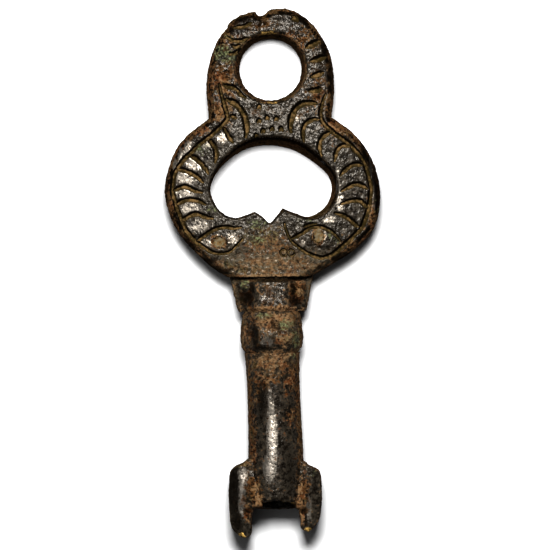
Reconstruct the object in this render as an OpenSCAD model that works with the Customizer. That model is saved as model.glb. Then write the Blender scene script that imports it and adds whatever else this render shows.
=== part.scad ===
// Bronze pipe key with an openwork bow, a hanging loop, two collars and a forked bit.
// The key lies on its back: +Z is up out of the front face, +Y runs towards the loop, and the
// origin is under the middle of the key, on the plane of the flat back.

/* [Plate] */
// Thickness of the bow and the loop, back face to front face
plate_t = 5.2; // [4.8:0.1:6.2]
// Width of the rounding worn along the outer edges, seen from the front
bevel_w = 0.9; // [0.3:0.1:1.2]
// Height of that rounding, down the edge
bevel_h = 1.3; // [0.4:0.1:1.8]

/* [Bow] */
// Height of the bow's centre above the middle of the key
bow_y = 9.05; // [7:0.05:11]
// Width of the bow
bow_w = 24.5; // [22:0.1:28]
// Height of the bow's outline above its centre
bow_rise = 10.65; // [10.2:0.05:12]
// Depth of the bow's outline below its centre
bow_drop = 10.2; // [9.8:0.05:12]
// Width of the flat middle of the bow's front face
face_flat_w = 13; // [8:0.5:16]
// How much the front face falls away from there to the bow's left and right edges
face_fall = 0.6; // [0.1:0.05:0.9]
// How much the bow's upper end is cut back for the loop's flat seat
loop_cut = 2.05; // [1.4:0.05:2.4]
// How much the bow's lower end is cut back for the neck's flat seat
neck_cut = 0.75; // [0.5:0.05:1.2]

/* [Bow opening] */
// Width of the bow's band at each side of the finger opening
band_w = 4.95; // [4:0.05:6]
// Thickness of the crown, from the loop's seat to the top of the opening
crown_t = 2.25; // [1.8:0.05:3.2]
// Height of the opening's widest line above the bow's centre
opening_up = 0.45; // [-0.5:0.05:0.6]
// Depth of the two lower lobes below the widest line
lobe_drop = 3.3; // [2.5:0.05:4]
// Distance between the lowest points of the two lobes
lobe_span = 9; // [7:0.1:10.5]
// Height of the two ears above the bottom of the lobes
ear_rise = 0.85; // [0.3:0.05:1.5]
// Distance between the peaks of the two ears
ear_span = 3.4; // [2.4:0.1:5]
// Depth of the notch between the ears, below the bottom of the lobes
notch_drop = 0.5; // [0.1:0.05:1]
// Slope of the arch's inner wall: how far it comes in at the back
draft_top = 1.1; // [0:0.1:1.6]
// Slope of the right inner wall: how far it comes in at the back
draft_right = 0.75; // [0:0.05:1.2]

/* [Loop] */
// Outer diameter of the loop
loop_d = 14.5; // [13.4:0.1:16]
// Height of the loop's centre above its seat on the bow
loop_up = 5.1; // [4.5:0.05:6]
// How far the loop's foot stands in from the bow's edge, each side
foot_in = 0.35; // [0:0.05:1]
// Angle below the loop's centre where its round head runs into the foot
foot_angle = 15; // [5:1:30]
// Diameter of the hanging hole
loop_hole_d = 7.1; // [5:0.1:8]
// Height of the hole's centre above the loop's centre
hole_lift = 0.5; // [0:0.05:0.8]
// Chamfer round both mouths of the hole
hole_chamfer = 0.35; // [0.1:0.05:0.6]
// Width of the tongue under the loop's foot
tongue_w = 6; // [4:0.1:8]
// Thickness of that tongue
tongue_t = 2.4; // [1.6:0.1:3]
// Length of that tongue
tongue_len = 1.3; // [0.8:0.05:1.5]

/* [Engraving] */
// Width of an engraved cut at the front face
cut_w = 0.6; // [0.3:0.05:0.8]
// Depth of an engraved cut
cut_d = 0.3; // [0.1:0.05:0.5]
// Distance of the border cut from the bow's edge
border_in = 1.2; // [1:0.05:1.6]
// Half the distance between the upper ends of the two border cuts
border_top_x = 6.1; // [5:0.1:6.3]
// Height of those ends above the loop's seat
border_top_up = 2.6; // [1:0.1:3.5]
// Number of short strokes in each side of the band
stroke_count = 7; // [3:1:9]
// Angle of the highest stroke on the left, up from the bow's centre line
left_first = 54; // [48:1:58]
// Angle between the strokes on the left
left_pitch = 11.7; // [6:0.1:12]
// Angle of the highest stroke on the right, up from the bow's centre line
right_first = 57; // [48:1:58]
// Angle between the strokes on the right
right_pitch = 13.2; // [6:0.1:13.4]
// Distance that the strokes keep from the opening and the hole
stroke_gap = 0.8; // [0.5:0.05:1.2]
// Angle by which a stroke's inner end hangs lower than its outer end
stroke_lean = 4.5; // [0:0.5:8]
// Angle by which a stroke bows upwards between its ends
stroke_bow = 4.2; // [0:0.2:6]
// Distance of the leaf cuts from the axis, beside the opening
leaf_in_x = 2.55; // [2:0.05:3]
// Distance of the leaf cuts from the axis, at their upper ends
leaf_out_x = 5.05; // [4:0.05:5.4]
// Depth of the leaf cuts' feet below the loop's seat
leaf_drop = 1.8; // [1.2:0.05:2]
// Height of the leaf cuts from foot to upper end
leaf_rise = 3.7; // [2.8:0.05:4.2]
// Distance of the middle of each eye from the axis
eye_x = 5.3; // [4.8:0.05:5.6]
// Depth of the eyes' corners below the opening's widest line
eye_drop = 5.7; // [5.3:0.05:6.2]
// Length of each eye, corner to corner
eye_w = 6.2; // [4:0.1:6.6]
// Height of the upper lids above the corners
lid_rise = 1.4; // [0.6:0.05:1.6]
// Depth of the lower lids below the corners
lid_drop = 1.9; // [0.6:0.05:2.2]
// Diameter of the pupils
pupil_d = 1.3; // [0.6:0.05:1.6]
// Distance between the punch marks on the crown
punch_pitch = 1.05; // [0.8:0.05:1.2]
// Size of a punch mark, middle to corner
punch_r = 0.32; // [0.15:0.01:0.4]
// Number of strokes on the loop's right side
loop_stroke_count = 4; // [2:1:5]
// Angle of the highest of them, up from the hole's centre
loop_stroke_first = 28; // [10:1:40]
// Angle between them
loop_stroke_pitch = 17; // [10:1:18]
// Length of a stroke on the loop
loop_stroke_len = 1.5; // [0.8:0.05:1.7]

/* [Neck and bead] */
// Width of the neck collar under the bow
neck_top_w = 9.4; // [8:0.1:9.6]
// Width of the neck collar at the bead
neck_end_w = 7.8; // [7:0.1:9]
// Length of the neck collar
neck_len = 3.95; // [3:0.05:5]
// How far the neck's facets lie below the bow's faces, where they meet
neck_step = 0.4; // [0.2:0.05:0.5]
// Thickness of the neck collar at the bead
neck_end_t = 5.6; // [5:0.05:6]
// Width of the neck's flat front and back facets
neck_facet_w = 3.8; // [3:0.1:5]
// Height of the narrow facet down each side of the neck
neck_side_h = 1.4; // [1:0.1:2]
// Diameter of the bead where it meets its neighbours
bead_end_d = 6.6; // [6.2:0.05:7.2]
// Swell of the bead, outwards from its ends
bead_swell = 0.35; // [0.1:0.05:0.8]
// Length of the bead
bead_len = 4.7; // [3.5:0.05:6]
// Distance from the bead's top to its greatest diameter
bead_belly = 2.8; // [1.5:0.05:3.2]

/* [Shank] */
// Diameter of the shank at the bead
shank_top_d = 6.1; // [5.6:0.05:6.5]
// Length of the shank
shank_len = 17.5; // [15.5:0.1:24]
// Diameter of the pipe's bore, for the pin in the lock
pipe_bore_d = 4.4; // [3:0.1:5]
// Thickness of the pipe's wall at its open end
pipe_wall = 1; // [0.8:0.05:1.4]
// Thickness of the metal left between the pipe's bore and the tang's socket
pipe_web = 2.5; // [1.5:0.1:4]
// Chamfer at the mouth of the pipe
mouth_chamfer = 0.3; // [0.1:0.05:0.4]
// Diameter of the bow's tang, which holds the collars and the shank
tang_d = 2.4; // [1.6:0.1:2.6]
// Length of the tang inside the shank
tang_reach = 4; // [2.5:0.1:6]

/* [Bits] */
// How far each bit stands out of the side of the pipe
bit_out = 2.1; // [1.5:0.05:3]
// Thickness of the bits
bit_t = 3.6; // [2.4:0.1:4.6]
// Length of each bit along the side of the shank
bit_root = 5.2; // [4:0.1:7]
// Radius of each bit's shoulder
bit_shoulder_r = 2.1; // [1:0.05:2.6]
// Length of the left prong past the end of the shank
left_prong = 3.45; // [2:0.05:5]
// Length of the right prong past the end of the shank
right_prong = 2.95; // [2:0.05:5]
// How far each prong stands clear of the pipe's bore
prong_clear = 0.5; // [0.2:0.05:0.8]
// Radius of each prong's worn outer corner
prong_r = 1.5; // [0.5:0.05:1.8]
// Width of the keyways that hold the bits
keyway_w = 1.6; // [1:0.1:2]
// Thickness of the pipe's wall left under those keyways
keyway_skin = 0.4; // [0.2:0.05:0.6]

/* [Fits] */
// Clearance on every face of the seated joints, filled with solder
joint_gap = 0.03; // [0.02:0.01:0.08]

/* [Hidden] */
$fn = 64;

// Points in a quarter of an oval
quarter = 12;

// Steps in the worn rounding of an edge, and along a short engraved stroke
edge_steps = 3;
stroke_steps = 5;

// How wide and deep a cut is at its ends, where the graver enters and leaves
cut_taper = 0.4;

// How far a cutting tool runs past the faces that it cuts
past = 1;

// Levels along the key, from the loop down to the prongs
loop_seat_y = bow_y + bow_rise - loop_cut;
loop_y = loop_seat_y + loop_up;
hole_y = loop_y + hole_lift;
opening_y = bow_y + opening_up;
neck_y = bow_y - bow_drop + neck_cut;
bead_y = neck_y - neck_len;
shank_y = bead_y - bead_len;
pipe_end_y = shank_y - shank_len;
bit_top_y = pipe_end_y + bit_root;

// Middle of the plate's thickness, and the lower bevel round its back
plate_mid_z = plate_t / 2;
back_bevel_h = bevel_h / 2;

// The finger opening at the front face
opening_w = bow_w - 2 * band_w;
arch_rise = loop_seat_y - crown_t - opening_y;

// The slope of the bow's front face, beside its flat middle
face_slope = face_fall / (bow_w / 2 - face_flat_w / 2);

// Height of the eyes' corners
eye_y = opening_y - eye_drop;

// Half the bow's width at the loop's seat, less the step in to the foot
foot_half = bow_w / 2 * sqrt(1 - pow(1 - loop_cut / bow_rise, 2)) - foot_in;

// The pipe lies on the plane of the flat back, so its larger end sets the height of its axis
shank_end_d = pipe_bore_d + 2 * pipe_wall;
axis_z = max(shank_top_d, shank_end_d) / 2;
pipe_bore_depth = shank_len - tang_reach - pipe_web;

// Distances from the shank's axis to the keyways' floor and to both sides of the bits
keyway_floor = pipe_bore_d / 2 + keyway_skin;
prong_inner = pipe_bore_d / 2 + prong_clear;
bit_reach = shank_end_d / 2 + bit_out;

// Points on an oval arc, both ends included
function arc(centre, rx, ry, from, to, steps = quarter) =
    [for (i = [0:steps]) let (a = from + (to - from) * i / steps) centre + [rx * cos(a), ry * sin(a)]];

// A list without its last point, where the next stretch of an outline starts on it
function open_end(points) = [for (i = [0:len(points) - 2]) points[i]];

// A flat outline lifted to one height
function at_height(points, z) = [for (p = points) [p[0], p[1], z]];

// A closed solid through a list of rings, each with as many points, the first ring lowest and
// every ring running anticlockwise seen from above
module loft(rings) {
    count = len(rings[0]);
    levels = len(rings);
    sides = [for (k = [0:levels - 2], i = [0:count - 1])
        let (j = (i + 1) % count, low = k * count, high = low + count)
            each [[low + i, high + i, high + j], [low + i, high + j, low + j]]];
    bottom = [for (i = [0:count - 1]) i];
    top = [for (i = [0:count - 1]) levels * count - 1 - i];
    polyhedron(points = [for (ring = rings) each ring], faces = concat(sides, [bottom, top]), convexity = 6);
}

// A tool or a round piece along the shank's axis: its own +Z runs down the key from this level
module down_the_key(level) {
    translate([0, level, axis_z])
        rotate([90, 0, 0])
            children();
}

// The bow's oval outline, drawn in by an inset
function bow_outline(inset) =
    let (c = [0, bow_y], rx = bow_w / 2 - inset, up = bow_rise - inset, down = bow_drop - inset)
    concat(
        open_end(arc(c, rx, up, 0, 180, 2 * quarter)),
        open_end(arc(c, rx, down, 180, 360, 2 * quarter)));

// The finger opening: an arch over two lobes, with a pair of ears and a notch between them
function opening_outline(top_in, right_in) =
    let (
        c = [0, opening_y],
        left = opening_w / 2,
        right = opening_w / 2 - right_in,
        lobe = lobe_span / 2,
        ear_y = opening_y - lobe_drop + ear_rise,
        notch = [0, opening_y - lobe_drop - notch_drop])
    concat(
        open_end(arc(c, right, arch_rise - top_in, 0, 90)),
        open_end(arc(c, left, arch_rise - top_in, 90, 180)),
        arc(c - [lobe, 0], left - lobe, lobe_drop, 180, 270, quarter / 2),
        [[-ear_span / 2, ear_y], notch, [ear_span / 2, ear_y]],
        open_end(arc(c + [lobe, 0], right - lobe, lobe_drop, 270, 360, quarter / 2)));

// The loop's outline: a round head on a foot that draws in a little, drawn in by an inset
function loop_outline(inset) =
    let (r = loop_d / 2 - inset, foot = foot_half - inset)
    concat(
        arc([0, loop_y], r, r, -foot_angle, 180 + foot_angle, 3 * quarter),
        [[-foot, loop_seat_y], [foot, loop_seat_y]]);

// A plate with the flat back on the ground and its front edge worn round; the outline is a function of an inset
module worn_plate(outline) {
    loft(concat(
        [at_height(outline(bevel_w), 0), at_height(outline(0), back_bevel_h)],
        [for (i = [0:edge_steps]) let (a = 90 * i / edge_steps)
            at_height(outline(bevel_w * (1 - cos(a))), plate_t - bevel_h * (1 - sin(a)))]));
}

// Height of the front face at a distance from the key's axis
function face_z(x) = plate_t - face_slope * max(0, abs(x) - face_flat_w / 2);

// Everything below the bow's front face, which slopes down to both sides
module under_face() {
    reach = 2 * bow_w;
    rotate([90, 0, 0])
        linear_extrude(2 * reach, center = true)
            polygon([
                [-reach, -past], [reach, -past], [reach, face_z(reach)],
                [0, plate_t + face_slope * face_flat_w / 2], [-reach, face_z(reach)]]);
}

// A graver's cut along a path: a V in the front face, small where the tool enters and leaves
module graver_cut(path) {
    last = len(path) - 1;
    loft([for (i = [0:last])
        let (
            p = path[i],
            z = face_z(p[0]),
            along = path[min(i + 1, last)] - path[max(i - 1, 0)],
            share = i == 0 || i == last ? cut_taper : 1,
            reach = [along[1], -along[0]] / norm(along) * cut_w * share)
        [
            [p[0] - reach[0], p[1] - reach[1], z + cut_d * share],
            [p[0] + reach[0], p[1] + reach[1], z + cut_d * share],
            [p[0], p[1], z - cut_d * share]]]);
}

// A path on the right side of the key, or turned over to the left
function on_side(side, path) = [for (p = path) [side * p[0], p[1]]];

// Distance from an oval's centre to its edge, at an angle
function oval_r(a, rx, ry) = 1 / norm([cos(a) / rx, sin(a) / ry]);

// Distance from the bow's centre to the border cut, at an angle
function border_r(a) = oval_r(a, bow_w / 2 - border_in, (a > 0 ? bow_rise : bow_drop) - border_in);

// The border cut: from the loop's foot, along the bow's edge and down to the eye's outer corner
function border_path() =
    let (
        from = atan2(loop_seat_y - bow_y, border_top_x),
        to = atan2(eye_y - bow_y, eye_x + eye_w / 2))
    concat(
        [[border_top_x, loop_seat_y + border_top_up]],
        [for (i = [0:2 * quarter]) let (a = from + (to - from) * i / (2 * quarter))
            [border_r(a) * cos(a), bow_y + border_r(a) * sin(a)]]);

// A short stroke that leaves the border cut at an angle and stops near the opening
function stroke_path(a) =
    let (r_in = oval_r(a, opening_w / 2, arch_rise) + stroke_gap)
    [for (i = [0:stroke_steps])
        let (
            u = i / stroke_steps,
            r = border_r(a) + (r_in - border_r(a)) * u,
            b = a + 4 * stroke_bow * u * (1 - u) - stroke_lean * u)
        [r * cos(b), bow_y + r * sin(b)]];

// A stroke on the loop, outwards from near the hole
function loop_stroke_path(a) =
    let (r_in = loop_hole_d / 2 + hole_chamfer + stroke_gap)
    [for (u = [0, 0.5, 1]) [0, hole_y] + (r_in + loop_stroke_len * u) * [cos(a), sin(a)]];

// The leaf cut beside the crown, which runs from the opening up on to the loop
function leaf_path() =
    arc([leaf_out_x, loop_seat_y - leaf_drop], leaf_out_x - leaf_in_x, leaf_rise, 180, 90, quarter / 2);

// One lid of an eye, from its outer corner to its inner one
function lid_path(rise) =
    [for (i = [0:quarter]) let (u = 1 - 2 * i / quarter) [eye_x + u * eye_w / 2, eye_y + rise * (1 - u * u)]];

// The cuts that cross from the bow to the loop
module crossing_cuts() {
    for (side = [-1, 1]) {
        graver_cut(on_side(side, border_path()));
        graver_cut(on_side(side, leaf_path()));
    }
}

// The cuts in the bow's band, its eyes and the punch marks on its crown
module bow_cuts() {
    for (side = [-1, 1]) {
        first = side < 0 ? left_first : right_first;
        pitch = side < 0 ? left_pitch : right_pitch;
        for (k = [0:stroke_count - 1])
            graver_cut(on_side(side, stroke_path(first - pitch * k)));
        graver_cut(on_side(side, lid_path(lid_rise)));
        graver_cut(on_side(side, lid_path(-lid_drop)));
        translate([side * eye_x, eye_y, face_z(eye_x) - cut_d])
            cylinder(h = cut_d + past, d = pupil_d);
    }
    for (column = [-1:1], row = [0, 1])
        translate([column * punch_pitch, loop_seat_y - punch_r - row * punch_pitch, plate_t - cut_d])
            rotate([0, 0, 90])
                cylinder(h = cut_d + past, r = punch_r, $fn = 3);
}

// The cutting tool for the finger opening, whose walls slope in towards the back
module opening_cut() {
    front = opening_outline(0, 0);
    back = opening_outline(draft_top, draft_right);
    loft([
        at_height(back, -past),
        at_height(back, 0),
        at_height(front, plate_t),
        at_height(front, plate_t + past)]);
}

// The tongue under the loop, or with a clearance the mortise that takes it
module tongue(gap) {
    translate([-tongue_w / 2 - gap, loop_seat_y - tongue_len - gap, plate_mid_z - tongue_t / 2 - gap])
        cube([tongue_w + 2 * gap, tongue_len + gap + past, tongue_t + 2 * gap]);
}

module suspension_loop() {
    color("#4a3a2a")
    difference() {
        union() {
            worn_plate(function (inset) loop_outline(inset));
            tongue(0);
        }
        crossing_cuts();
        for (k = [0:loop_stroke_count - 1])
            graver_cut(loop_stroke_path(loop_stroke_first - loop_stroke_pitch * k));
        translate([0, hole_y, -past])
            cylinder(h = plate_t + 2 * past, d = loop_hole_d);
        for (front = [0, 1])
            translate([0, hole_y, front * plate_t])
                mirror([0, 0, front])
                    cylinder(h = hole_chamfer, r1 = loop_hole_d / 2 + hole_chamfer, r2 = loop_hole_d / 2);
    }
}

module bow_plate() {
    color("#2e2721")
    union() {
        difference() {
            intersection() {
                worn_plate(function (inset) bow_outline(inset));
                under_face();
                translate([-bow_w, neck_y, -past])
                    cube([2 * bow_w, loop_seat_y - neck_y, plate_t + 2 * past]);
            }
            opening_cut();
            tongue(joint_gap);
            crossing_cuts();
            bow_cuts();
        }
        down_the_key(neck_y + past)
            cylinder(h = past + neck_len + bead_len + tang_reach, d = tang_d);
    }
}

// One section of the neck: flat facets front and back, and a narrow one down each side
function neck_section(y, mid_z, w, t) =
    let (facet = neck_facet_w / 2, side = neck_side_h / 2)
    [for (p = [
        [facet, -t / 2], [w / 2, -side], [w / 2, side], [facet, t / 2],
        [-facet, t / 2], [-w / 2, side], [-w / 2, -side], [-facet, -t / 2]])
        [p[0], y, mid_z + p[1]]];

module neck_collar() {
    color("#3a3229")
    difference() {
        loft([
            neck_section(neck_y, plate_mid_z, neck_top_w, plate_t - 2 * neck_step),
            neck_section(bead_y, axis_z, neck_end_w, neck_end_t)]);
        down_the_key(neck_y + past)
            cylinder(h = neck_len + 2 * past, d = tang_d + 2 * joint_gap);
    }
}

module bead_collar() {
    end = [bead_end_d / 2, bead_belly];
    below = bead_end_d + bead_swell;
    color("#40382c")
    difference() {
        down_the_key(bead_y)
            rotate_extrude()
                polygon(concat(
                    [[tang_d / 2 + joint_gap, bead_len], [tang_d / 2 + joint_gap, 0]],
                    open_end(arc(end, bead_swell, bead_belly, -90, 0)),
                    arc(end, bead_swell, bead_len - bead_belly, 0, 90)));
        translate([-below, shank_y - past, -below])
            cube([2 * below, bead_len + 2 * past, below]);
    }
}

// The outside of the shank, or with a clearance the seat that a bit is cut to
module shank_body(gap) {
    cylinder(h = shank_len + gap, d1 = shank_top_d + 2 * gap, d2 = shank_end_d + 2 * gap);
}

module shank_pipe() {
    keyway_len = bit_root + joint_gap;
    color("#241f1b")
    down_the_key(shank_y)
        difference() {
            shank_body(0);
            translate([0, 0, -past])
                cylinder(h = past + tang_reach + joint_gap, d = tang_d + 2 * joint_gap);
            translate([0, 0, shank_len - pipe_bore_depth])
                cylinder(h = pipe_bore_depth + past, d = pipe_bore_d);
            translate([0, 0, shank_len - mouth_chamfer])
                cylinder(h = mouth_chamfer, r1 = pipe_bore_d / 2, r2 = pipe_bore_d / 2 + mouth_chamfer);
            for (side = [0, 180])
                rotate([0, 0, side])
                    translate([keyway_floor, -keyway_w / 2, shank_len - keyway_len])
                        cube([shank_end_d, keyway_w, keyway_len + past]);
        }
}

// A bit on the right side: a rounded shoulder against the shank and a prong past its end,
// with a tongue that slides up the shank's keyway
module bit(prong) {
    tip_y = pipe_end_y - prong;
    root = keyway_floor + joint_gap;
    tip_r = min(prong_r, bit_reach - prong_inner);
    shoulder_r = min(bit_shoulder_r, bit_reach - root);
    outline = concat(
        [[root, pipe_end_y], [prong_inner, pipe_end_y], [prong_inner, tip_y]],
        arc([bit_reach - tip_r, tip_y + tip_r], tip_r, tip_r, 270, 360, quarter / 2),
        arc([bit_reach - shoulder_r, bit_top_y - shoulder_r], shoulder_r, shoulder_r, 0, 90),
        [[root, bit_top_y]]);
    difference() {
        translate([0, 0, axis_z])
            linear_extrude(bit_t, center = true)
                polygon(outline);
        down_the_key(shank_y)
            shank_body(joint_gap);
    }
    translate([0, 0, axis_z])
        linear_extrude(keyway_w - 2 * joint_gap, center = true)
            polygon(outline);
}

module left_bit() {
    color("#2a2520")
    mirror([1, 0, 0])
        bit(left_prong);
}

module right_bit() {
    color("#2a2520")
    bit(right_prong);
}

suspension_loop();
bow_plate();
neck_collar();
bead_collar();
shank_pipe();
left_bit();
right_bit();
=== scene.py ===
# %% [markdown]
# # A bronze pipe key, dressed for a studio picture
#
# The key is a small casting: a pierced loop to hang it by, an oval bow with a finger opening and a
# border of engraved strokes, two collars, a hollow shank and a forked bit. Its solids come from the
# packed frame. Each one is replaced here by a denser piece with worn edges, real engraving and a
# patina. Start by loading the frame and keeping its box.

# %% Load the frame
import math

import bpy
import numpy as np
from mathutils.kdtree import KDTree
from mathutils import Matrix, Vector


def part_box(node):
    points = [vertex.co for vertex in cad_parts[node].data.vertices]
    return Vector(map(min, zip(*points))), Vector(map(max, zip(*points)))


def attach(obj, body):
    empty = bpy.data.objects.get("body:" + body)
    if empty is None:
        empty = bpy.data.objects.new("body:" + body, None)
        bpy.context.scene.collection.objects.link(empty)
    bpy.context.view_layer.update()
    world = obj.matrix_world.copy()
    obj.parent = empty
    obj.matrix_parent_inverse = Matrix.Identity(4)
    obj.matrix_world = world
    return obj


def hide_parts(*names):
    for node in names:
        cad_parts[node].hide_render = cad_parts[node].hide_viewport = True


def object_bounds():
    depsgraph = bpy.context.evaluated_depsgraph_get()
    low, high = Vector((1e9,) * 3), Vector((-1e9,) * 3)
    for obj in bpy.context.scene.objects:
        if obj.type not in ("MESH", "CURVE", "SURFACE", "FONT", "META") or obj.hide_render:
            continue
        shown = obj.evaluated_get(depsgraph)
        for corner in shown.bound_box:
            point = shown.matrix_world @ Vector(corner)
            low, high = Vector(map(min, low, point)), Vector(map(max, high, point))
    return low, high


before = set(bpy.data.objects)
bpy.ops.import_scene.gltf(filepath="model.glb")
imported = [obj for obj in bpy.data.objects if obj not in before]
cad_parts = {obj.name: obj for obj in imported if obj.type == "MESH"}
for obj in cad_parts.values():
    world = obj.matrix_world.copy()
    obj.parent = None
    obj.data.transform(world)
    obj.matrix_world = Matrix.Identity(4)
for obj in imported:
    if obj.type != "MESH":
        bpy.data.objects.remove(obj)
cad_low, cad_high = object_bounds()
MM = 0.001
print("frame:", sorted(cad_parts), "box in mm:", [round(v / MM, 2) for v in (*cad_low, *cad_high)])

# %% [markdown]
# ## Sizes from the frame
#
# A piece that stands for a solid takes its levels from that solid, so a change there moves it too.
# Everything below is in millimetres in the key's own frame: x to the right, y up towards the loop and
# z out of the front face. Metres come back for a finished mesh, the lights and the camera.

# %% Levels of the key


def box_mm(node):
    """The lowest and highest corner of a solid, in millimetres."""
    low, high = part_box(node)
    return np.array(low) / MM, np.array(high) / MM


TONGUE_LEN = 1.3
seat_y = box_mm("suspension_loop")[0][1] + TONGUE_LEN
plate_t = box_mm("bow_plate")[1][2]
neck_y = box_mm("neck_collar")[1][1]
bead_y, bead_top_z = box_mm("bead_collar")[1][1:]
shank_low, shank_high = box_mm("shank_pipe")
shank_y = shank_high[1]
pipe_end_y = shank_low[1]
axis_z = (shank_low[2] + shank_high[2]) / 2
print("plate", round(plate_t, 2), "axis", round(axis_z, 2), "seat", round(seat_y, 2),
      "pipe end", round(pipe_end_y, 2))

# %% [markdown]
# ## From the photograph to the key
#
# The outlines and the engraver's strokes were read off the photograph, so they are written as its
# pixels, right and down. The key leans a little in the picture. One function takes the lean out and
# turns pixels into millimetres, and the camera at the end gives the lean back.

# %% Pixels to millimetres
KEY_LENGTH_MM = 60.0
KEY_LENGTH_PX = 530.0
MM_PER_PX = KEY_LENGTH_MM / KEY_LENGTH_PX
HOLE_CENTRE_PX = np.array([270.5, 67.5])
SHANK_MIDDLE_PX = np.array([276.0, 455.0])
KEY_MIDDLE_PX_Y = 273.0

down_px = (SHANK_MIDDLE_PX - HOLE_CENTRE_PX) / np.linalg.norm(SHANK_MIDDLE_PX - HOLE_CENTRE_PX)
right_px = np.array([down_px[1], -down_px[0]])
lean = math.atan2(down_px[0], down_px[1])
middle_px = HOLE_CENTRE_PX + down_px * (KEY_MIDDLE_PX_Y - HOLE_CENTRE_PX[1]) / down_px[1]


def from_photo(points):
    """Photograph pixels as x and y millimetres in the key's frame."""
    offset = np.asarray(points, float) - middle_px
    return np.stack([offset @ right_px, -(offset @ down_px)], axis=-1) * MM_PER_PX


print("lean of the key in the picture, degrees:", round(math.degrees(lean), 2))

# %% [markdown]
# ## Outlines
#
# The outline of a worn casting has no true arcs, but it needs few points if a smooth curve runs through
# them. A curve that only leans towards its points would be harder to set. This one passes through each,
# so each can be checked against the picture. Sharp corners, like the notch between the two ears of the
# opening, are simply places where one curve ends and the next begins.

# %% Smooth curves through a few points
OUTLINE_STEP = 0.06
SPAN_STEPS = 24


def smooth_path(points, spacing=OUTLINE_STEP):
    """An open cubic curve through the points, in even steps of about this many millimetres."""
    knots = np.asarray(points, float)
    knots = np.vstack([2 * knots[0] - knots[1], knots, 2 * knots[-1] - knots[-2]])
    t = np.linspace(0, 1, SPAN_STEPS, endpoint=False)[:, None]
    spans = []
    for a, b, c, d in zip(knots[:-3], knots[1:-2], knots[2:-1], knots[3:]):
        spans.append(0.5 * (2 * b + (c - a) * t + (2 * a - 5 * b + 4 * c - d) * t**2
                            + (3 * b - a - 3 * c + d) * t**3))
    dense = np.vstack(spans + [knots[-2:-1]])
    along = np.concatenate([[0], np.cumsum(np.linalg.norm(np.diff(dense, axis=0), axis=1))])
    steps = max(2, int(round(along[-1] / spacing)) + 1)
    even = np.linspace(0, along[-1], steps)
    return np.stack([np.interp(even, along, dense[:, k]) for k in range(knots.shape[1])], axis=-1)


BOW_RIGHT_PX = [(332, 117.5), (340, 122.5), (352, 131.5), (364, 145), (374, 163), (379.5, 183),
                (380.5, 200), (377, 221), (369.5, 235), (353, 251), (335, 262.5), (316, 273.5),
                (296, 283), (272, 287)]
BOW_LEFT_PX = [(272, 287), (248, 284), (230, 278), (213, 268), (195, 252), (180, 235), (170, 216),
               (164.3, 193), (167, 172), (175, 150.5), (186, 136), (199, 125.5), (208.5, 118.5)]
LOOP_LEFT_PX = [(208.5, 118.5), (208.2, 112), (207.6, 105), (206.4, 92), (207, 76.5), (209.5, 62),
                (214.6, 46), (220.4, 35.4), (227.3, 27.2)]
LOOP_STEP_PX = [(227.3, 27.2), (228.2, 23.2), (236.2, 16.7), (246.7, 12.4), (255.3, 11.0)]
LOOP_NOTCH_PX = [(255.3, 11.0), (258.2, 14.9), (263.4, 14.6), (267.6, 10.6)]
LOOP_RIGHT_PX = [(267.6, 10.6), (271.5, 8.5), (279, 7.8), (289, 8.6), (300, 13.4), (311.7, 22.5),
                 (321.3, 35.4), (328.5, 49.7), (332.3, 63), (333.8, 76.5), (334.2, 92), (333, 105),
                 (331.8, 112), (332, 117.5)]
OPENING_PX = [(283.6, 209.4), (297, 215), (311, 218.7), (324, 213.3), (333.5, 203), (337.6, 188),
              (333.5, 172), (317.5, 155), (301, 143), (286, 138), (272, 136.8), (257, 138),
              (244, 142.5), (231.5, 151.5), (217, 168), (209.6, 188), (215, 205), (224, 214.3),
              (235, 218), (246, 215.2), (254.8, 211.8)]
NOTCH_PX = [(254.8, 211.8), (262, 216.5), (269.6, 223), (276, 216.8), (283.6, 209.4)]


def joined_path(*stretches):
    """One outline from stretches of pixels, each a smooth curve, with a corner where two meet."""
    return np.vstack([smooth_path(from_photo(stretch)) for stretch in stretches])


loop_outline = joined_path(LOOP_LEFT_PX, LOOP_STEP_PX, LOOP_NOTCH_PX, LOOP_RIGHT_PX)
bow_outline = joined_path(BOW_RIGHT_PX, BOW_LEFT_PX)
opening_outline = joined_path(OPENING_PX, NOTCH_PX)
print("outline points: loop", len(loop_outline), "bow", len(bow_outline), "opening", len(opening_outline))

# %% [markdown]
# ## The front face as one height field
#
# The bow and the loop are one continuous face in the picture: the same bevel runs round both. So the
# height of that face is one function of x and y, and each piece samples it. The seam between them then
# closes by itself. The face falls away outwards along both sides of the bow, which is why light from
# the left brightens the left band and leaves the right one dark.

# %% Distances from the edges


def distance_to(points, line):
    """Distance from each x, y point to the nearest point of a dense line."""
    tree = KDTree(len(line))
    for i, (x, y) in enumerate(line):
        tree.insert((x, y, 0.0), i)
    tree.balance()
    return np.array([tree.find((x, y, 0.0))[2] for x, y in points])


def ease(value, low, high):
    """0 below low, 1 above high, and a smooth step between them."""
    t = np.clip((value - low) / (high - low), 0, 1)
    return t * t * (3 - 2 * t)


HOLE_MOUTH_R = 3.98
HOLE_STEPS = 400
hole_centre = from_photo(HOLE_CENTRE_PX)
hole_turn = np.linspace(0, 2 * np.pi, HOLE_STEPS)
hole_line = hole_centre + HOLE_MOUTH_R * np.stack([np.cos(hole_turn), np.sin(hole_turn)], axis=-1)
rim_line = np.vstack([loop_outline, bow_outline])
inner_line = np.vstack([opening_outline, hole_line])
print("edge points: outer", len(rim_line), "inner", len(inner_line))

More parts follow.
